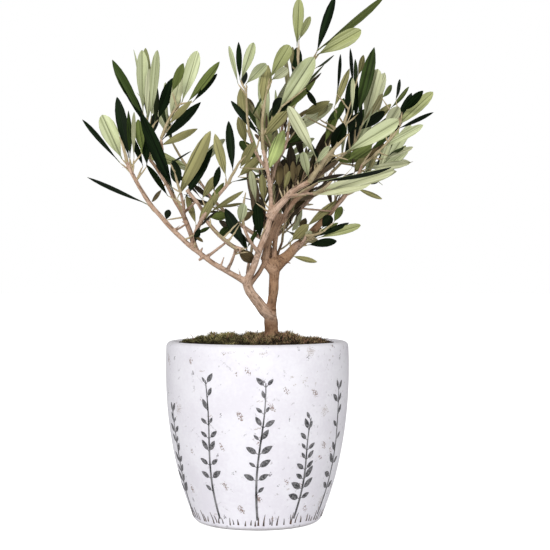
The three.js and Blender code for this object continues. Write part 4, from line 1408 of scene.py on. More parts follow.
# The drawn sprigs, in millimetres and degrees: pairs of values go from foot to tip or from least to most
SPRIG_SEED = 31
SPRIG_COUNT = 11
SPRIG_HEIGHTS = (70, 108)
SPRIG_FOOT = 9
SPRIG_STRAYS = 0.25
SPRIG_LEAN = 14
SPRIG_LEAN_POWER = 1.6
SPRIG_SWAY = 2.2
SPRIG_SWAY_TURN = 5
SPRIG_STEM = (2.21, 0.65)
SPRIG_STEM_STEPS = 18
SPRIG_LEAVES = 9
SPRIG_LEAFY = (0.2, 0.97)
SPRIG_MISSING = 0.14
SPRIG_SPREAD = (64, 30)
SPRIG_SPREAD_VARIES = 34
SPRIG_STALK = 2.2
SPRIG_STALK_WIDTHS = (0.45, 0.4)
SPRIG_LEAF = (5.4, 11)
SPRIG_LEAF_TAPER = (1.15, 0.7)
SPRIG_LEAF_STEPS = 9
SPRIG_LEAF_WIDTH = 0.44
SPRIG_LEAF_POWERS = (0.85, 0.8)
GRASS_COUNT = 84
GRASS_HEIGHTS = (3, 9)
GRASS_FEET = (4.2, 5.7)
GRASS_WIDTHS = (0.8, 1.7)
GRASS_TIP = 0.3
GRASS_BOW = 4
GRASS_STEPS = 5
INK_LEAST = 0.12
INK_BEFORE_WALL = 0.3
INK_OFF_WALL = 0.05
INK_THICKNESS = 0.14


class Ink:
    """Strokes on the pot's wall, laid out as arc length and height in millimetres."""

    def __init__(self):
        self.places, self.faces, self.slots = [], [], []

    def on_wall(self, point):
        angle = point[0] / POT_RADIUS
        radius = pot_radius(point[1]) + INK_BEFORE_WALL
        return (radius * math.sin(angle), -radius * math.cos(angle), point[1])

    def ribbon(self, line, widths, slot):
        """A stroke of changing width along a line of points."""
        line = np.array(line)
        along = np.gradient(line, axis=0)
        normal = np.stack((-along[:, 1], along[:, 0]), axis=1)
        normal /= lengths(normal)[:, None]
        first = len(self.places)
        for point, off, width in zip(line, normal, widths):
            self.places += [self.on_wall(point - off * width / 2), self.on_wall(point + off * width / 2)]
        for i in range(len(line) - 1):
            a = first + 2 * i
            self.faces.append((a, a + 2, a + 3, a + 1))
            self.slots.append(slot)

    def sprig(self, middle, height, lean, random):
        """An upright stem with oval leaves in pairs, each on a short stalk."""
        shares = np.linspace(0, 1, SPRIG_STEM_STEPS)
        sway = lean * shares**SPRIG_LEAN_POWER + SPRIG_SWAY * np.sin(shares * SPRIG_SWAY_TURN + lean)
        line = np.stack((middle + sway, SPRIG_FOOT + height * shares), axis=1)
        self.ribbon(line, mix(*SPRIG_STEM, shares), 0)
        for number in range(SPRIG_LEAVES):
            share = mix(*SPRIG_LEAFY, number / (SPRIG_LEAVES - 1))
            root = np.array([np.interp(share, shares, line[:, 0]), np.interp(share, shares, line[:, 1])])
            for side in (-1, 1):
                if random() < SPRIG_MISSING:
                    continue
                spread = mix(*SPRIG_SPREAD, share) + SPRIG_SPREAD_VARIES * (random() - 0.5)
                turn = math.radians(spread) * side
                aim = np.array((math.sin(turn), math.cos(turn)))
                size = mix(*SPRIG_LEAF, random()) * mix(*SPRIG_LEAF_TAPER, share)
                self.leaf(root, aim, size)

    def leaf(self, root, aim, size):
        low, full = SPRIG_LEAF_POWERS
        stalk = root + aim * SPRIG_STALK
        self.ribbon([root, stalk], SPRIG_STALK_WIDTHS, 0)
        steps = np.linspace(0, 1, SPRIG_LEAF_STEPS)
        widths = INK_LEAST + size * SPRIG_LEAF_WIDTH * np.sin(np.pi * steps**low) ** full
        self.ribbon(stalk + np.outer(steps * size, aim), widths, 1)

    def grass(self, middle, random):
        height = mix(*GRASS_HEIGHTS, random())
        steps = np.linspace(0, 1, GRASS_STEPS)
        bow = (random() - 0.5) * GRASS_BOW
        foot = mix(*GRASS_FEET, random())
        line = np.stack((middle + bow * steps**2, foot + height * steps), axis=1)
        self.ribbon(line, GRASS_TIP + mix(*GRASS_WIDTHS, random()) * (1 - steps), 2)


class BONSAI_OT_sprigs(bpy.types.Operator):
    """Draws leafy sprigs and short grass strokes round the pot"""

    bl_idname = "bonsai.sprigs"
    bl_label = "Drawn sprigs"

    def execute(self, context):
        settings = context.scene.bonsai_pot
        random = seeded_random(SPRIG_SEED)
        ink = Ink()
        girth = 2 * math.pi * POT_RADIUS
        for number in range(SPRIG_COUNT):
            middle = girth * (number + SPRIG_STRAYS * (random() - 0.5)) / SPRIG_COUNT
            ink.sprig(middle, mix(*SPRIG_HEIGHTS, random()), SPRIG_LEAN * (random() - 0.5), random)
        for number in range(GRASS_COUNT):
            ink.grass(girth * (number + random()) / GRASS_COUNT, random)
        sprigs = piece_of("drawn_sprigs", ink.places, ink.faces, ink.slots)
        wall = bpy.data.objects["glazed_pot"]
        finish_with(sprigs, "SHRINKWRAP", target=wall, wrap_method="NEAREST_SURFACEPOINT",
                    wrap_mode="ABOVE_SURFACE", offset=INK_OFF_WALL * MM)
        finish_with(sprigs, "SOLIDIFY", thickness=INK_THICKNESS * MM, offset=1.0)
        # Each ink: its colours, and the sizes of its patches and their grain
        inks = (
            ("ink_stem", settings.ink, settings.ink_worn, 9, 0.6),
            ("ink_leaf", settings.ink, settings.ink_worn, 1.5, 0.5),
            ("ink_grass", settings.grass, settings.ink, 3, 0.5),
        )
        finishes = [patchy_finish(*row, roughness=0.6, shine=0.3, bump=0.2) for row in inks]
        settle(sprigs, finishes)
        return {"FINISHED"}


# The soil's and the moss bed's rings, in millimetres, and the soil's crumbs
BED_SEGMENTS = 96
SOIL_BEVEL = 1
SOIL_WALL_RINGS = 8
SOIL_TOP_RINGS = 24
SOIL_TOP_DROP = 0.6
SOIL_HUB = 0.05
CRUMB_SIZE = 3.5
CRUMB_HEIGHT = 0.9


class BONSAI_OT_soil(bpy.types.Operator):
    """Fills the pot with crumbly soil"""

    bl_idname = "bonsai.soil"
    bl_label = "Soil"

    def execute(self, context):
        settings = context.scene.bonsai_moss
        walls = np.linspace(POT_FLOOR + SOIL_BEVEL, SOIL_TOP - SOIL_BEVEL, SOIL_WALL_RINGS)
        rings = [(self.reach(POT_FLOOR), POT_FLOOR + CLEARANCE)]
        rings += [(self.reach(height), height) for height in walls]
        rings += [(self.reach(SOIL_TOP) * share, SOIL_TOP - SOIL_TOP_DROP)
                  for share in np.linspace(1, SOIL_HUB, SOIL_TOP_RINGS)]
        soil = ring_up("soil_bed", rings, BED_SEGMENTS)
        roughen(soil, CRUMB_SIZE, CRUMB_HEIGHT, depth=3)
        smoothed(soil)
        # The soil's darker patches take the moss's painted shade colour
        finish = patchy_finish("potting_soil", settings.soil, settings.shade,
                               patch=3, grain=0.8, roughness=0.95, shine=0.2, bump=1.0)
        settle(soil, [finish], ["soil"])
        return {"FINISHED"}

    def reach(self, height):
        return pot_radius(height) - POT_WALL - CLEARANCE


# The moss bed: its rings and its lumps and grain, by size and height in millimetres
MOSS_RINGS = 26
MOSS_BED_INSET = 0.6
MOSS_HUB = 1.5
MOSS_BED_DROP = 1.2
MOSS_BED_RISE = 0.6
MOSS_LUMP_SIZE = 10
MOSS_LUMPS = 8.5
MOSS_GRAIN_SIZE = 2.5
MOSS_GRAIN = 1.0

# Tufts of strands on it, in millimetres: strands in a tuft stand higher and lean outward
MOSS_SEED = 12
MOSS_TUFTS = 110
TUFT_INSET = 4
TUFT_RADII = (3.5, 8)
TUFT_RISE = (0.2, 4.6)
TUFT_FADES = 1.4
TUFT_LEAN = 0.75
STRAND_INSET = 0.4
STRAND_DEPTH = 0.4
STRAND_WIDTH = 0.7
STRAND_VARIES = (0.4, 1.1)
STRAND_ADDS = 0.6
STRAND_LEAN = 0.3
STRAND_BEND = 0.35
STRAND_DROOP = -0.12
STRAND_MIDDLE = 0.55
STRAND_NARROWS = 0.75
STRAYS = 0.04
STRAY_LENGTHS = (1, 4)
MOSS_RIM = 5
RIM_SHORTENS = 0.6

# A strand's seven corners: three at its root, three at its middle and its tip, with the painted light at
# each, dark as shade at the root and brightest at the tip
STRAND_CORNERS = 7
STRAND_FACES = ((0, 1, 4, 3), (1, 2, 5, 4), (2, 0, 3, 5), (3, 4, 6), (4, 5, 6), (5, 3, 6), (2, 1, 0))
STRAND_LIGHT = (0, 0, 0, 0.5, 0.5, 0.5, 1)
LIGHT_VARIES = (0.1, 1.6)
LIGHT_FROM = 1.6
LIGHT_RISE = 4.5
LIGHT_LEAST = 0.35

# How moss turns from green to olive and brown across the bed, in millimetres and shares
BROWN_ACROSS = 28
BROWN_VARIES = 0.36
BROWN_AT_MIDDLE = 0.3
OLIVE_FROM = 0.0
BROWN_FROM = 0.55

# Thin stalks that stand out of the moss, in millimetres
STALK_COUNT = 18
STALK_INSET = 8
STALK_HEIGHTS = (3.5, 7.5)
STALK_BOW = 1.6
STALK_DEPTH = 0.3
STALK_POINTS = 6
STALK_SHARES = (0, 0.8, 0.9, 1)
STALK_RADII = (0.26, 0.22, 0.4, 0.25)


def moss_rise(reach):
    return GROUND + MOSS_EDGE + MOSS_HEIGHT * MOSS_BED_RISE * (1 - (reach / MOSS_RADIUS) ** 2)


class BONSAI_OT_moss(bpy.types.Operator):
    """Lays a bed of moss over the soil, painted dark as the shade under the strands, with tufts of strands
    and a few thin stalks
    """

    bl_idname = "bonsai.moss"
    bl_label = "Moss"

    def execute(self, context):
        settings = context.scene.bonsai_moss
        rings = [(MOSS_RADIUS, GROUND), (MOSS_RADIUS, GROUND + MOSS_EDGE / 2)]
        rings += [(reach, moss_rise(reach) - MOSS_BED_DROP)
                  for reach in np.linspace(MOSS_RADIUS - MOSS_BED_INSET, MOSS_HUB, MOSS_RINGS)]
        bed = ring_up("moss_bed", rings, BED_SEGMENTS)
        roughen(bed, MOSS_LUMP_SIZE, MOSS_LUMPS, depth=1)
        roughen(bed, MOSS_GRAIN_SIZE, MOSS_GRAIN)
        smoothed(bed)
        ground = BVHTree.FromObject(bed, context.evaluated_depsgraph_get())
        # The bed is painted as shade: nearly black under the strands
        dark = patchy_finish("moss_bed", settings.shade, toned(settings.brown, 0.1),
                             patch=5, grain=0.9, roughness=0.95, shine=0.15, bump=0.8)
        settle(bed, [dark], ["moss"])
        random = np.random.default_rng(MOSS_SEED)
        self.stand_strands(settings, ground, random)
        self.stand_stalks(settings, ground, random)
        return {"FINISHED"}

    def stand_strands(self, settings, ground, random):
        """Strands all over the bed, higher and painted brighter in tufts, with painted shade in the hollows,
        from green to brown across it.
        """
        tufts = disc_points(random, MOSS_TUFTS, MOSS_RADIUS - TUFT_INSET)
        radii = random.uniform(*TUFT_RADII, MOSS_TUFTS)
        rises = random.uniform(*TUFT_RISE, MOSS_TUFTS)
        roots = disc_points(random, settings.strands, MOSS_RADIUS - STRAND_INSET)
        count = len(roots)
        gaps = lengths(roots[:, None] - tufts[None]) / radii
        nearest = gaps.argmin(axis=1)
        share = np.clip(gaps[np.arange(count), nearest], 0, TUFT_FADES)
        lift = np.clip(1 - share**2, 0, 1) * rises[nearest]
        outward = (roots - tufts[nearest]) / radii[nearest][:, None]
        heights = np.array([surface_height(ground, x, y) for x, y in roots])
        length = settings.strand / MM * random.uniform(*STRAND_VARIES, count) + lift
        length += (random.uniform(0, 1, count) < STRAYS) * random.uniform(*STRAY_LENGTHS, count)
        base = np.c_[roots, heights - STRAND_DEPTH]
        lean = np.c_[outward * TUFT_LEAN + random.normal(0, STRAND_LEAN, (count, 2)), np.ones(count)]
        lean /= lengths(lean)[:, None]
        reach = lengths(roots)
        edge = 1 - np.clip((reach - MOSS_RADIUS + MOSS_RIM) / MOSS_RIM, 0, 1) * RIM_SHORTENS
        browning = roots[:, 0] / BROWN_ACROSS + random.normal(0, BROWN_VARIES, count) + BROWN_AT_MIDDLE
        kind = np.where(browning > BROWN_FROM, 2, np.where(browning > OLIVE_FROM, 1, 0))
        places, faces = strands(base, lean, (length + STRAND_ADDS) * edge, random)
        moss = piece_of("moss_strands", places, faces, np.repeat(kind, len(STRAND_FACES)))
        # Painted light and shade, kept as the height attribute: strands that stand high are brighter, those
        # in hollows darker
        above = heights + lift - moss_rise(reach)
        bright = np.clip((above + MOSS_BED_DROP + LIGHT_FROM) / LIGHT_RISE, LIGHT_LEAST, 1)
        store(moss, "height", np.outer(bright * random.uniform(*LIGHT_VARIES, count), STRAND_LIGHT))
        pairs = (("green", "olive"), ("olive", "brown"), ("brown", "olive"))
        settle(moss, [moss_finish(settings, *pair) for pair in pairs])

    def stand_stalks(self, settings, ground, random):
        """A few thin stalks, each swollen under its tip."""
        lines = []
        shares = np.linspace(0, 1, STALK_POINTS)
        radii = np.interp(shares, STALK_SHARES, STALK_RADII)
        for x, y in disc_points(random, STALK_COUNT, MOSS_RADIUS - STALK_INSET):
            tall = random.uniform(*STALK_HEIGHTS)
            bow = random.normal(0, STALK_BOW, 2)
            rise = surface_height(ground, x, y) + tall * shares - STALK_DEPTH
            line = np.stack((x + bow[0] * shares**2, y + bow[1] * shares**2, rise), axis=1)
            lines.append((line, radii))
        stalks = drawn_wood("moss_stalks", lines, 0)
        finish = patchy_finish("moss_stalk", toned(settings.brown, 0.4), settings.brown,
                               patch=4, grain=0.7, roughness=0.8, shine=0.2, bump=0.1)
        settle(stalks, [finish])


def disc_points(random, count, radius):
    turn = random.uniform(0, 2 * math.pi, count)
    reach = radius * np.sqrt(random.uniform(0, 1, count))
    return np.stack((reach * np.cos(turn), reach * np.sin(turn)), axis=1)


def surface_height(ground, x, y):
    """How high the moss bed lies at a place, in millimetres."""
    hit = ground.ray_cast(Vector((x * MM, y * MM, 1)), Vector((0, 0, -1)))[0]
    return hit.z / MM if hit else GROUND + MOSS_EDGE / 2


def strands(base, lean, length, random):
    """Three-sided strands that bend over, each of two stretches to a point."""
    count = len(base)
    bend = np.c_[random.normal(0, STRAND_BEND, (count, 2)), np.full(count, STRAND_DROOP)]
    middle = base + lean * (length * STRAND_MIDDLE)[:, None]
    tip = base + (lean + bend) * length[:, None]
    spin = random.uniform(0, 2 * math.pi, count)
    corners = []
    for centre, thick in ((base, 1.0), (middle, STRAND_NARROWS)):
        for third in range(3):
            turn = spin + third * 2 * math.pi / 3
            off = np.c_[np.cos(turn), np.sin(turn), np.zeros(count)] * STRAND_WIDTH / 2 * thick
            corners.append(centre + off)
    places = np.stack((*corners, tip), axis=1).reshape(-1, 3)
    firsts = range(0, len(places), STRAND_CORNERS)
    return places, [tuple(first + corner for corner in face) for first in firsts for face in STRAND_FACES]


# Limbs: points along each, their wander, the collar at their root and their knots, in radii and millimetres
LIMB_POINTS = 26
LIMB_SLIM = 0.84
LIMB_SIDES = 3
WOBBLE = 0.6
WANDER_REACH = 16
WANDER_ROWS = 7.3
WANDER_LEVEL = 1.7
COLLAR = 0.45
COLLAR_REACH = 2.4
KNOT_SIZE = 0.16
KNOT_SPACING = 8
KNOT_ROWS = 3.1
KNOT_LEVEL = 0.4

# Root ridges about the trunk's foot, in millimetres
ROOT_RIDGES = 6
ROOT_REACH = (2.6, 9.5)
ROOT_RISE = 14
ROOT_RADII = (1.9, 1)
ROOT_POINTS = 8
ROOT_SPREADS = 1.5
ROOT_STRAYS = 0.3
ROOT_STRAY_TURN = 5

# How old and brown the bark of the oldest limbs is; the others are young
BARK_AGES = {"trunk": 1.0, "right_bough": 1.0, "centre_bough": 0.7, "inner_bough": 0.8, "back_bough": 0.8,
             "left_upper_bough": 0.5, "middle_bough": 0.22}
YOUNG_AGE = 0.3
FORK_AGE = 0.75
AGE_BLURS = 90

# The bark's relief: the size of its furrows, fibres, lumps and wrinkles in millimetres, and their weights
LINE_STEPS = 4
FURROWS_ACROSS = 0.7
FURROW_LENGTH = 13
FURROW_SHARP = 2.2
FURROW_LEVEL = 0.45
FURROW_WEIGHT = 0.42
FIBRES_ACROSS = 1.7
FIBRE_LENGTH = 15
FIBRE_WEIGHT = 0.36
LUMP_SIZE = 4.5
LUMP_WEIGHT = 0.16
WRINKLE_SIZE = 0.9
WRINKLE_SHIFT = 0.01
WRINKLE_WEIGHT = 0.06
RELIEF_LEVEL = 0.5
RELIEF_MIDDLE = 0.55
WOOD_SMOOTHING = 5

# Small stubs of cut or broken shoots: the limb, where on it, the stub's line from there and its radii
STUB_POINTS = 5
STUBS = (
    ("left_bough", 0.27, (-3.5, -2, -3), (1.5, 0.9)),
    ("left_bough", 0.3, (2.5, -1, 4.5), (1.3, 0.4)),
    ("left_bough", 0.36, (1.5, -2, 6), (0.8, 0.3)),
    ("left_bough", 0.5, (5, -2, 4), (0.8, 0.3)),
    ("left_bough", 0.16, (3, -3, 8), (0.9, 0.4)),
    ("left_bough", 0.03, (-2, -3, 8), (0.9, 0.25)),
    ("left_bough", 0.97, (-5, -2, -1), (0.7, 0.25)),
    ("right_bough", 0.03, (6, -2, -0.5), (1.1, 0.3)),
    ("right_bough", 0.16, (3, -3, 2), (1.2, 0.8)),
    ("middle_bough", 0.35, (-2, -3, 1), (1.2, 0.9)),
    ("trunk", 0.42, (1.5, -5.6, 0.5), (1.9, 1.4)),
    ("right_bough", 0.1, (6.7, -2, -3.2), (1.1, 0.35)),
    ("middle_right_bough", 0.5, (2, -3, 3), (0.9, 0.5)),
    ("left_upper_bough", 0.3, (-4, -2, 2), (0.8, 0.3)),
)

# Stems about the trunk's fork: its left arm, one that crosses to it, and one that rises from it
FORK_STEMS = (
    Stem((13, 0, 191), (5.6, -1, 200), (-1, 0, -1.5), (3.8, 2.9)),
    Stem((-5.6, -4.5, 181.5), (6.2, -1, 199.5), (1.2, 0, -1.2), (1.8, 2)),
    Stem((5.6, -1, 200), (18, 4, 236), (-2.5, 0, 1), (2.9, 2.4)),
)

# Thin bare stems that cross between the left limbs, by their ends in the front view and their depths
CROSS_STEMS = tuple(
    Stem(behind_point(*root), behind_point(*tip), bow, radii)
    for root, tip, bow, radii in (
        (((241, 250), -26), ((207, 221), -14), (0, -2, -7), (1.9, 1.6)),
        (((208, 256), -8), ((231, 238), -22), (0, 0, -1), (1.3, 0.9)),
        (((174, 231), -9), ((188, 223), -4), (0, 0, 0), (0.9, 0.8)),
        (((187, 190), -26), ((204, 213), -15), (1, -2, 0), (1.4, 1.5)),
        (((184, 212), 0), ((197, 200), -20), (0, 0, -1), (1.3, 1.1)),
        (((300, 208), 6), ((333, 211), 11), (0, 0, -1), (0.9, 0.8)),
    )
)


def limb_line(number, limb):
    """A limb's line with a slight wander, a collar at its root and knots along it."""
    length = limb.length()
    is_trunk = isinstance(limb, Trunk)
    points, radii = [], []
    for share in np.linspace(0, 1, LIMB_POINTS):
        radius = limb.radius(share) * (1 if is_trunk else LIMB_SLIM)
        along = share * length
        side, other = limb.across(share)
        drift = noise.noise_vector(Vector((along / WANDER_REACH, number * WANDER_ROWS, WANDER_LEVEL)))
        sway = WOBBLE * radius * math.sin(math.pi * share)
        points.append(limb.point(share) + (side * drift.x + other * drift.y) * sway)
        collar = 0 if is_trunk else COLLAR * math.exp(-along / (COLLAR_REACH * radius))
        knot = noise.noise(Vector((along / KNOT_SPACING, number * KNOT_ROWS, KNOT_LEVEL)))
        radii.append(radius * (1 + collar + KNOT_SIZE * max(0, knot)))
    return np.array(points), np.array(radii)


def root_line(number):
    """A root ridge that runs down the trunk's foot and out to the ground."""
    turn = 2 * math.pi * (number + ROOT_STRAYS * math.sin(number * ROOT_STRAY_TURN)) / ROOT_RIDGES
    way = np.array((math.cos(turn), math.sin(turn), 0))
    shares = np.linspace(0, 1, ROOT_POINTS)
    rise = GROUND + ROOT_RISE * (1 - shares) ** 2
    foot = np.array([*Trunk.FOOT[:2], 0])
    points = foot + np.outer(mix(*ROOT_REACH, shares**ROOT_SPREADS), way) + np.outer(rise, (0, 0, 1))
    return points, mix(*ROOT_RADII, shares)


def stub_line(limb, at, line, radii):
    start = limb.point(at)
    stub = Stem(start, start + np.array(line), NO_BOW, radii)
    return stub.line(STUB_POINTS), mix(*radii, np.linspace(0, 1, STUB_POINTS))


def blurred(mesh, values, rounds):
    """Values at a mesh's corners, evened out with their neighbours' round after round."""
    ends = np.zeros(len(mesh.edges) * 2, np.int32)
    mesh.edges.foreach_get("vertices", ends)
    first, second = ends.reshape(-1, 2).T
    count = len(values)
    near = np.bincount(first, minlength=count) + np.bincount(second, minlength=count)
    for _ in range(rounds):
        around = np.bincount(first, values[second], count) + np.bincount(second, values[first], count)
        values = mix(values, around / np.maximum(near, 1), 0.5)
    return values


class BONSAI_OT_wood(bpy.types.Operator):
    """Fuses the trunk and boughs into one body and raises the bark's furrows on it"""

    bl_idname = "bonsai.wood"
    bl_label = "Trunk and boughs"

    def execute(self, context):
        settings = context.scene.bonsai_wood
        limbs = whole_tree().limbs
        stems = [*limbs.values(), *FORK_STEMS, *CROSS_STEMS]
        lines = [limb_line(*row) for row in enumerate(stems)]
        lines += [root_line(number) for number in range(ROOT_RIDGES)]
        lines += [stub_line(limbs[host], *row) for host, *row in STUBS]
        wood = drawn_wood("olive_wood", lines, LIMB_SIDES)
        finish_with(wood, "REMESH", mode="VOXEL", voxel_size=settings.voxel)
        finish_with(wood, "SMOOTH", factor=0.5, iterations=WOOD_SMOOTHING)
        ages = [BARK_AGES.get(name, YOUNG_AGE) for name in limbs]
        ages += [FORK_AGE] * len(FORK_STEMS) + [YOUNG_AGE] * len(CROSS_STEMS)
        ages += [BARK_AGES["trunk"]] * ROOT_RIDGES + [BARK_AGES.get(host, YOUNG_AGE) for host, *_ in STUBS]
        self.raise_bark(wood, lines, ages, settings)
        smoothed(wood)
        settle(wood, [bark_finish(settings)], limbs)
        return {"FINISHED"}

    def raise_bark(self, wood, lines, ages, settings):
        """Furrows that run along each limb, lumps between them, and how old the bark is."""
        tree, centres = self.middle_lines(lines, ages)
        count = len(wood.data.vertices)
        places = np.zeros(count * 3, np.float32)
        wood.data.vertices.foreach_get("co", places)
        relief, age = np.zeros(count), np.zeros(count)
        for number, spot in enumerate(places.reshape(-1, 3) / MM):
            centre, along, radius, arc, age[number] = centres[tree.find(spot)[1]]
            distance = spot - centre
            length = arc + distance.dot(along)
            off = distance - along * distance.dot(along)
            furrow = noise.noise(Vector(off * FURROWS_ACROSS + along * (length / FURROW_LENGTH)))
            furrow = max(0, 1 - abs(furrow) * FURROW_SHARP)
            fibre = noise.noise(Vector(off * FIBRES_ACROSS + along * (length / FIBRE_LENGTH)))
            wrinkle = noise.noise(Vector((length / WRINKLE_SIZE, number % 2 * WRINKLE_SHIFT, radius)))
            height = RELIEF_LEVEL + FURROW_WEIGHT * (FURROW_LEVEL - furrow**2)
            height += LUMP_WEIGHT * noise.noise(Vector(spot / LUMP_SIZE))
            relief[number] = height + FIBRE_WEIGHT * fibre + WRINKLE_WEIGHT * wrinkle
        relief = np.clip(relief, 0, 1)
        store(wood, "relief", relief)
        store(wood, "age", blurred(wood.data, age, AGE_BLURS))
        group = wood.vertex_groups.new(name="bark")
        for number, value in enumerate(relief):
            group.add([number], float(value), "REPLACE")
        finish_with(wood, "DISPLACE", strength=settings.relief, mid_level=RELIEF_MIDDLE, vertex_group="bark")
        wood.vertex_groups.clear()

    def middle_lines(self, lines, ages):
        """Close points along every limb, each with its direction, radius, way from the root and age."""
        tree, centres = KDTree(sum(len(points) * LINE_STEPS for points, _ in lines)), []
        for (points, radii), years in zip(lines, ages):
            last = len(points) - 1
            arcs = np.r_[0, np.cumsum(lengths(np.diff(points, axis=0)))]
            for step in np.linspace(0, last, len(points) * LINE_STEPS):
                low = min(int(step), last - 1)
                centre = mix(points[low], points[low + 1], step - low)
                along = unit(points[low + 1] - points[low])
                tree.insert(centre, len(centres))
                radius, arc = (np.interp(step, range(len(points)), row) for row in (radii, arcs))
                centres.append((centre, along, radius, arc, years))
        tree.balance()
        return tree, centres


# Twigs: points along each, their wander in millimetres, and how their nodes swell and their tips thin
TWIG_POINTS = 9
TWIG_SIDES = 1
TWIG_WANDER = 0.7
TWIG_WANDER_REACH = 3
TWIG_WANDER_ROWS = 1.7
TWIG_NODES = 9
TWIG_SWELLS = 0.12
TWIG_THINS_FROM = 0.75
TWIG_THINS_TO = 0.4


class BONSAI_OT_twigs(bpy.types.Operator):
    """Grows the leafy stems and their side twigs"""

    bl_idname = "bonsai.twigs"
    bl_label = "Twigs"

    def execute(self, context):
        settings = context.scene.bonsai_wood
        tree = whole_tree()
        shoot = patchy_finish("shoot_bark", settings.shoot, settings.shoot_pale,
                              patch=6, grain=0.8, roughness=0.75, shine=0.3, bump=0.3)
        brown = patchy_finish("bare_bark", settings.bare, settings.bare_pale,
                              patch=5, grain=0.7, roughness=0.85, shine=0.2, bump=0.3)
        for name, twigs, finish in (("leafy_twigs", tree.twigs, shoot), ("bare_twigs", tree.bare, brown)):
            grown = drawn_wood(name, [self.twig_line(*row) for row in enumerate(twigs)], TWIG_SIDES)
            smoothed(grown)
            settle(grown, [finish])
        return {"FINISHED"}

    def twig_line(self, number, twig):
        """A twig's line with a slight wander, and nodes that swell along it."""
        shares = np.linspace(0, 1, TWIG_POINTS)
        spots = [Vector((share * TWIG_WANDER_REACH, number * TWIG_WANDER_ROWS, 0)) for share in shares]
        drift = np.array([noise.noise_vector(spot) for spot in spots])
        swell = 1 + TWIG_SWELLS * np.abs(np.sin(shares * TWIG_NODES + number))
        nodes = swell * np.interp(shares, (0, TWIG_THINS_FROM, 1), (1, 1, TWIG_THINS_TO))
        radii = np.array([twig.radius(share) for share in shares]) * nodes
        return twig.line(TWIG_POINTS) + drift * (np.sin(np.pi * shares) * TWIG_WANDER)[:, None], radii


# The finish of each strip round a blade: upper side, underside, and the midrib on each
RIM_SLOTS = (0, 2, 0, 1, 3, 1)
RIMS_TURNED = (2, 5)
END_SLOTS = [1, 1]


def blades(leaves):
    """Thin closed blades, each with an upper side, an underside and a midrib on both."""
    count, stations = len(leaves), len(BLADE_STATIONS)

    def read(name):
        return np.array([getattr(leaf, name) for leaf in leaves])

    random = np.random.default_rng(count)
    along = BLADE_STATIONS[None, :]
    length, width = read("length")[:, None], read("width")[:, None]
    half = width / 2 * mix(POINTED_WIDTHS[None, :], BLUNT_WIDTHS[None, :], read("blunt")[:, None])
    rib = np.maximum(width / 2 * RIB_SHARE, RIB_LEAST) * mix(*RIB_TAPER, along)
    rib = np.minimum(half * RIB_WIDEST, rib)
    fold = BLADE_FOLD * random.normal(*FOLD_VARIES, count)[:, None]
    twist = BLADE_TWIST * random.normal(0, TWIST_VARIES, count)[:, None] * (along - TWIST_FROM)
    thick = BLADE_THICKNESS * length * mix(1, THINS_TO, along)
    face, edge = read("face")[:, None, :], read("edge")[:, None, :]
    cosine, sine = np.cos(twist)[..., None], np.sin(twist)[..., None]
    up, out = face * cosine + edge * sine, edge * cosine - face * sine
    reach = length * along
    spine = read("root")[:, None, :] + read("aim")[:, None, :] * reach[..., None]
    spine = spine + face * (read("bend")[:, None] * reach * along)[..., None]
    above, below = thick * RIB_ABOVE, -thick * RIB_BELOW
    bent = fold * half
    rims = [(-half, bent), (-rib, above), (rib, above), (half, bent), (rib, below), (-rib, below)]
    corners = [spine + out * across[..., None] + up * high[..., None] for across, high in rims]
    places = np.stack(corners, axis=2).reshape(-1, 3)
    crosswise = [np.broadcast_to(0.5 + across / width, half.shape) for across, _ in rims]
    lengthwise = [np.broadcast_to(along, half.shape)] * len(rims)
    maps = np.stack([np.stack(rows, axis=2).reshape(-1) for rows in (crosswise, lengthwise)], axis=1)
    sides, step = len(rims), stations * len(rims)
    pattern, slots = [], []
    for low in range(0, step - sides, sides):
        high = low + sides
        for side, slot in enumerate(RIM_SLOTS):
            after = (side + 1) % sides
            corner = (low + side, high + side, high + after, low + after)
            pattern.append(corner[1:] + corner[:1] if side in RIMS_TURNED else corner)
            slots.append(slot)
    pattern += [tuple(range(sides)), tuple(reversed(range(step - sides, step)))]
    faces = [tuple(step * leaf + corner for corner in face) for leaf in range(count) for face in pattern]
    tones = np.repeat(random.uniform(0, 1, count), step)
    return places, faces, (slots + END_SLOTS) * count, maps, tones


class BONSAI_OT_leaves(bpy.types.Operator):
    """Grows every leaf, joined by kind"""

    bl_idname = "bonsai.leaves"
    bl_label = "Leaves"

    def execute(self, context):
        settings = context.scene.bonsai_leaves
        leaves = whole_tree().leaves
        replaced = list(SPRAYS)
        # The shadowed kind is painted shade: leaves dark brown on both sides in the heart of the crown
        for kind in ("deep", "dusky", "green", "khaki", "dry", "withered", "young"):
            grown = [leaf for leaf in leaves if leaf.kind == kind]
            places, faces, slots, maps, tones = blades(grown)
            piece = piece_of(kind + "_leaves", places, faces, slots)
            corners = np.zeros(len(piece.data.loops), np.int32)
            piece.data.loops.foreach_get("vertex_index", corners)
            layer = piece.data.uv_layers.new(name="blade")
            layer.data.foreach_set("uv", maps[corners].astype(np.float32).ravel())
            store(piece, "tone", tones)
            pick(piece)
            bpy.ops.object.shade_smooth_by_angle(angle=math.radians(SMOOTH_ANGLE))
            top, under = getattr(settings, kind + "_top"), getattr(settings, kind + "_under")
            settle(piece, leaf_finishes(kind, top, under), replaced)
            replaced = []
        return {"FINISHED"}


# The stage, in metres: its floor, and its soft boxes, which face the crown's foot
FLOOR_RADIUS = 12.0
FLOOR_SEGMENTS = 64
KEY_BOX = (-0.5, -1.45, 1.0)
FILL_BOX = (0.95, -1.0, 0.6)
BOX_SIZE = 0.7
BOXES_FACE = (0, 0, 0.22)
SENSOR = 36


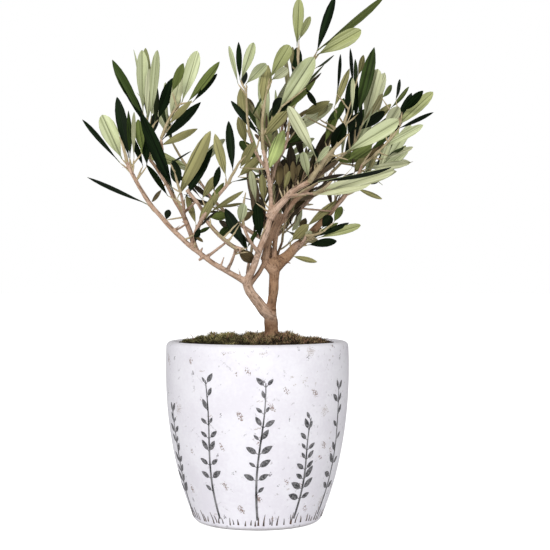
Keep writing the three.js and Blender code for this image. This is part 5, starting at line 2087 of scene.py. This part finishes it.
class BONSAI_OT_stage(bpy.types.Operator):
    """Sets up the pale floor, the soft light and the camera"""

    bl_idname = "bonsai.stage"
    bl_label = "Stage"

    def execute(self, context):
        settings = context.scene.bonsai_stage
        self.lay_floor(settings)
        self.hang_lights(context, settings)
        bpy.ops.object.camera_add(location=VIEW_FROM * MM, rotation=(math.pi / 2, 0, 0))
        camera = context.object
        camera.data.sensor_width = SENSOR
        camera.data.lens = SENSOR / 2 * VIEW_FOCUS / VIEW_MIDDLE
        context.scene.camera = camera
        context.scene.view_settings.view_transform = "Standard"
        return {"FINISHED"}

    def lay_floor(self, settings):
        bpy.ops.mesh.primitive_circle_add(vertices=FLOOR_SEGMENTS, radius=FLOOR_RADIUS, fill_type="NGON")
        floor = bpy.context.object
        floor.name = "floor"
        material, tree, shader = new_finish("pale_floor", roughness=0.9, shine=0.1)
        shader.inputs["Base Color"].default_value = tone(settings.floor)
        shader.inputs["Emission Color"].default_value = tone(settings.floor)
        seen = tree.nodes.new("ShaderNodeLightPath").outputs["Is Camera Ray"]
        tree.links.new(seen, shader.inputs["Emission Strength"])
        floor.data.materials.append(material)

    def hang_lights(self, context, settings):
        world = bpy.data.worlds.new("even_light")
        world.use_nodes = True
        tree = world.node_tree
        sky = tree.nodes["Background"]
        sky.inputs["Color"].default_value = (1, 1, 1, 1)
        seen = tree.nodes.new("ShaderNodeLightPath").outputs["Is Camera Ray"]
        tree.links.new(maths(tree, "MAXIMUM", seen, settings.sky), sky.inputs["Strength"])
        context.scene.world = world
        for spot, power in ((KEY_BOX, settings.key), (FILL_BOX, settings.fill)):
            toward = Vector(BOXES_FACE) - Vector(spot)
            bpy.ops.object.light_add(type="AREA", location=spot)
            box = context.object
            box.rotation_euler = toward.to_track_quat("-Z", "Y").to_euler()
            box.data.size = BOX_SIZE
            box.data.energy = power


class BONSAI_PT_panel(bpy.types.Panel):
    """Lists the bonsai's pieces"""

    bl_idname = "BONSAI_PT_panel"
    bl_label = "Olive Bonsai"
    bl_space_type = "VIEW_3D"
    bl_region_type = "UI"
    bl_category = "Bonsai"

    def draw(self, context):
        for step in PIECES:
            self.layout.operator(step.bl_idname)


SETTINGS = {
    "bonsai_pot": PotSettings,
    "bonsai_wood": WoodSettings,
    "bonsai_leaves": LeafSettings,
    "bonsai_moss": MossSettings,
    "bonsai_stage": StageSettings,
}
PIECES = (
    BONSAI_OT_stage,
    BONSAI_OT_pot,
    BONSAI_OT_sprigs,
    BONSAI_OT_soil,
    BONSAI_OT_moss,
    BONSAI_OT_wood,
    BONSAI_OT_twigs,
    BONSAI_OT_leaves,
)
CLASSES = (*SETTINGS.values(), *PIECES, BONSAI_PT_panel)


def register():
    for made in CLASSES:
        bpy.utils.register_class(made)
    for name, group in SETTINGS.items():
        setattr(bpy.types.Scene, name, bpy.props.PointerProperty(type=group))


def unregister():
    for name in SETTINGS:
        delattr(bpy.types.Scene, name)
    for made in reversed(CLASSES):
        bpy.utils.unregister_class(made)


def main():
    register()
    bpy.ops.bonsai.stage()
    bpy.ops.bonsai.pot()
    bpy.ops.bonsai.sprigs()
    bpy.ops.bonsai.soil()
    bpy.ops.bonsai.moss()
    bpy.ops.bonsai.wood()
    bpy.ops.bonsai.twigs()
    bpy.ops.bonsai.leaves()


if __name__ == "__main__":
    main()
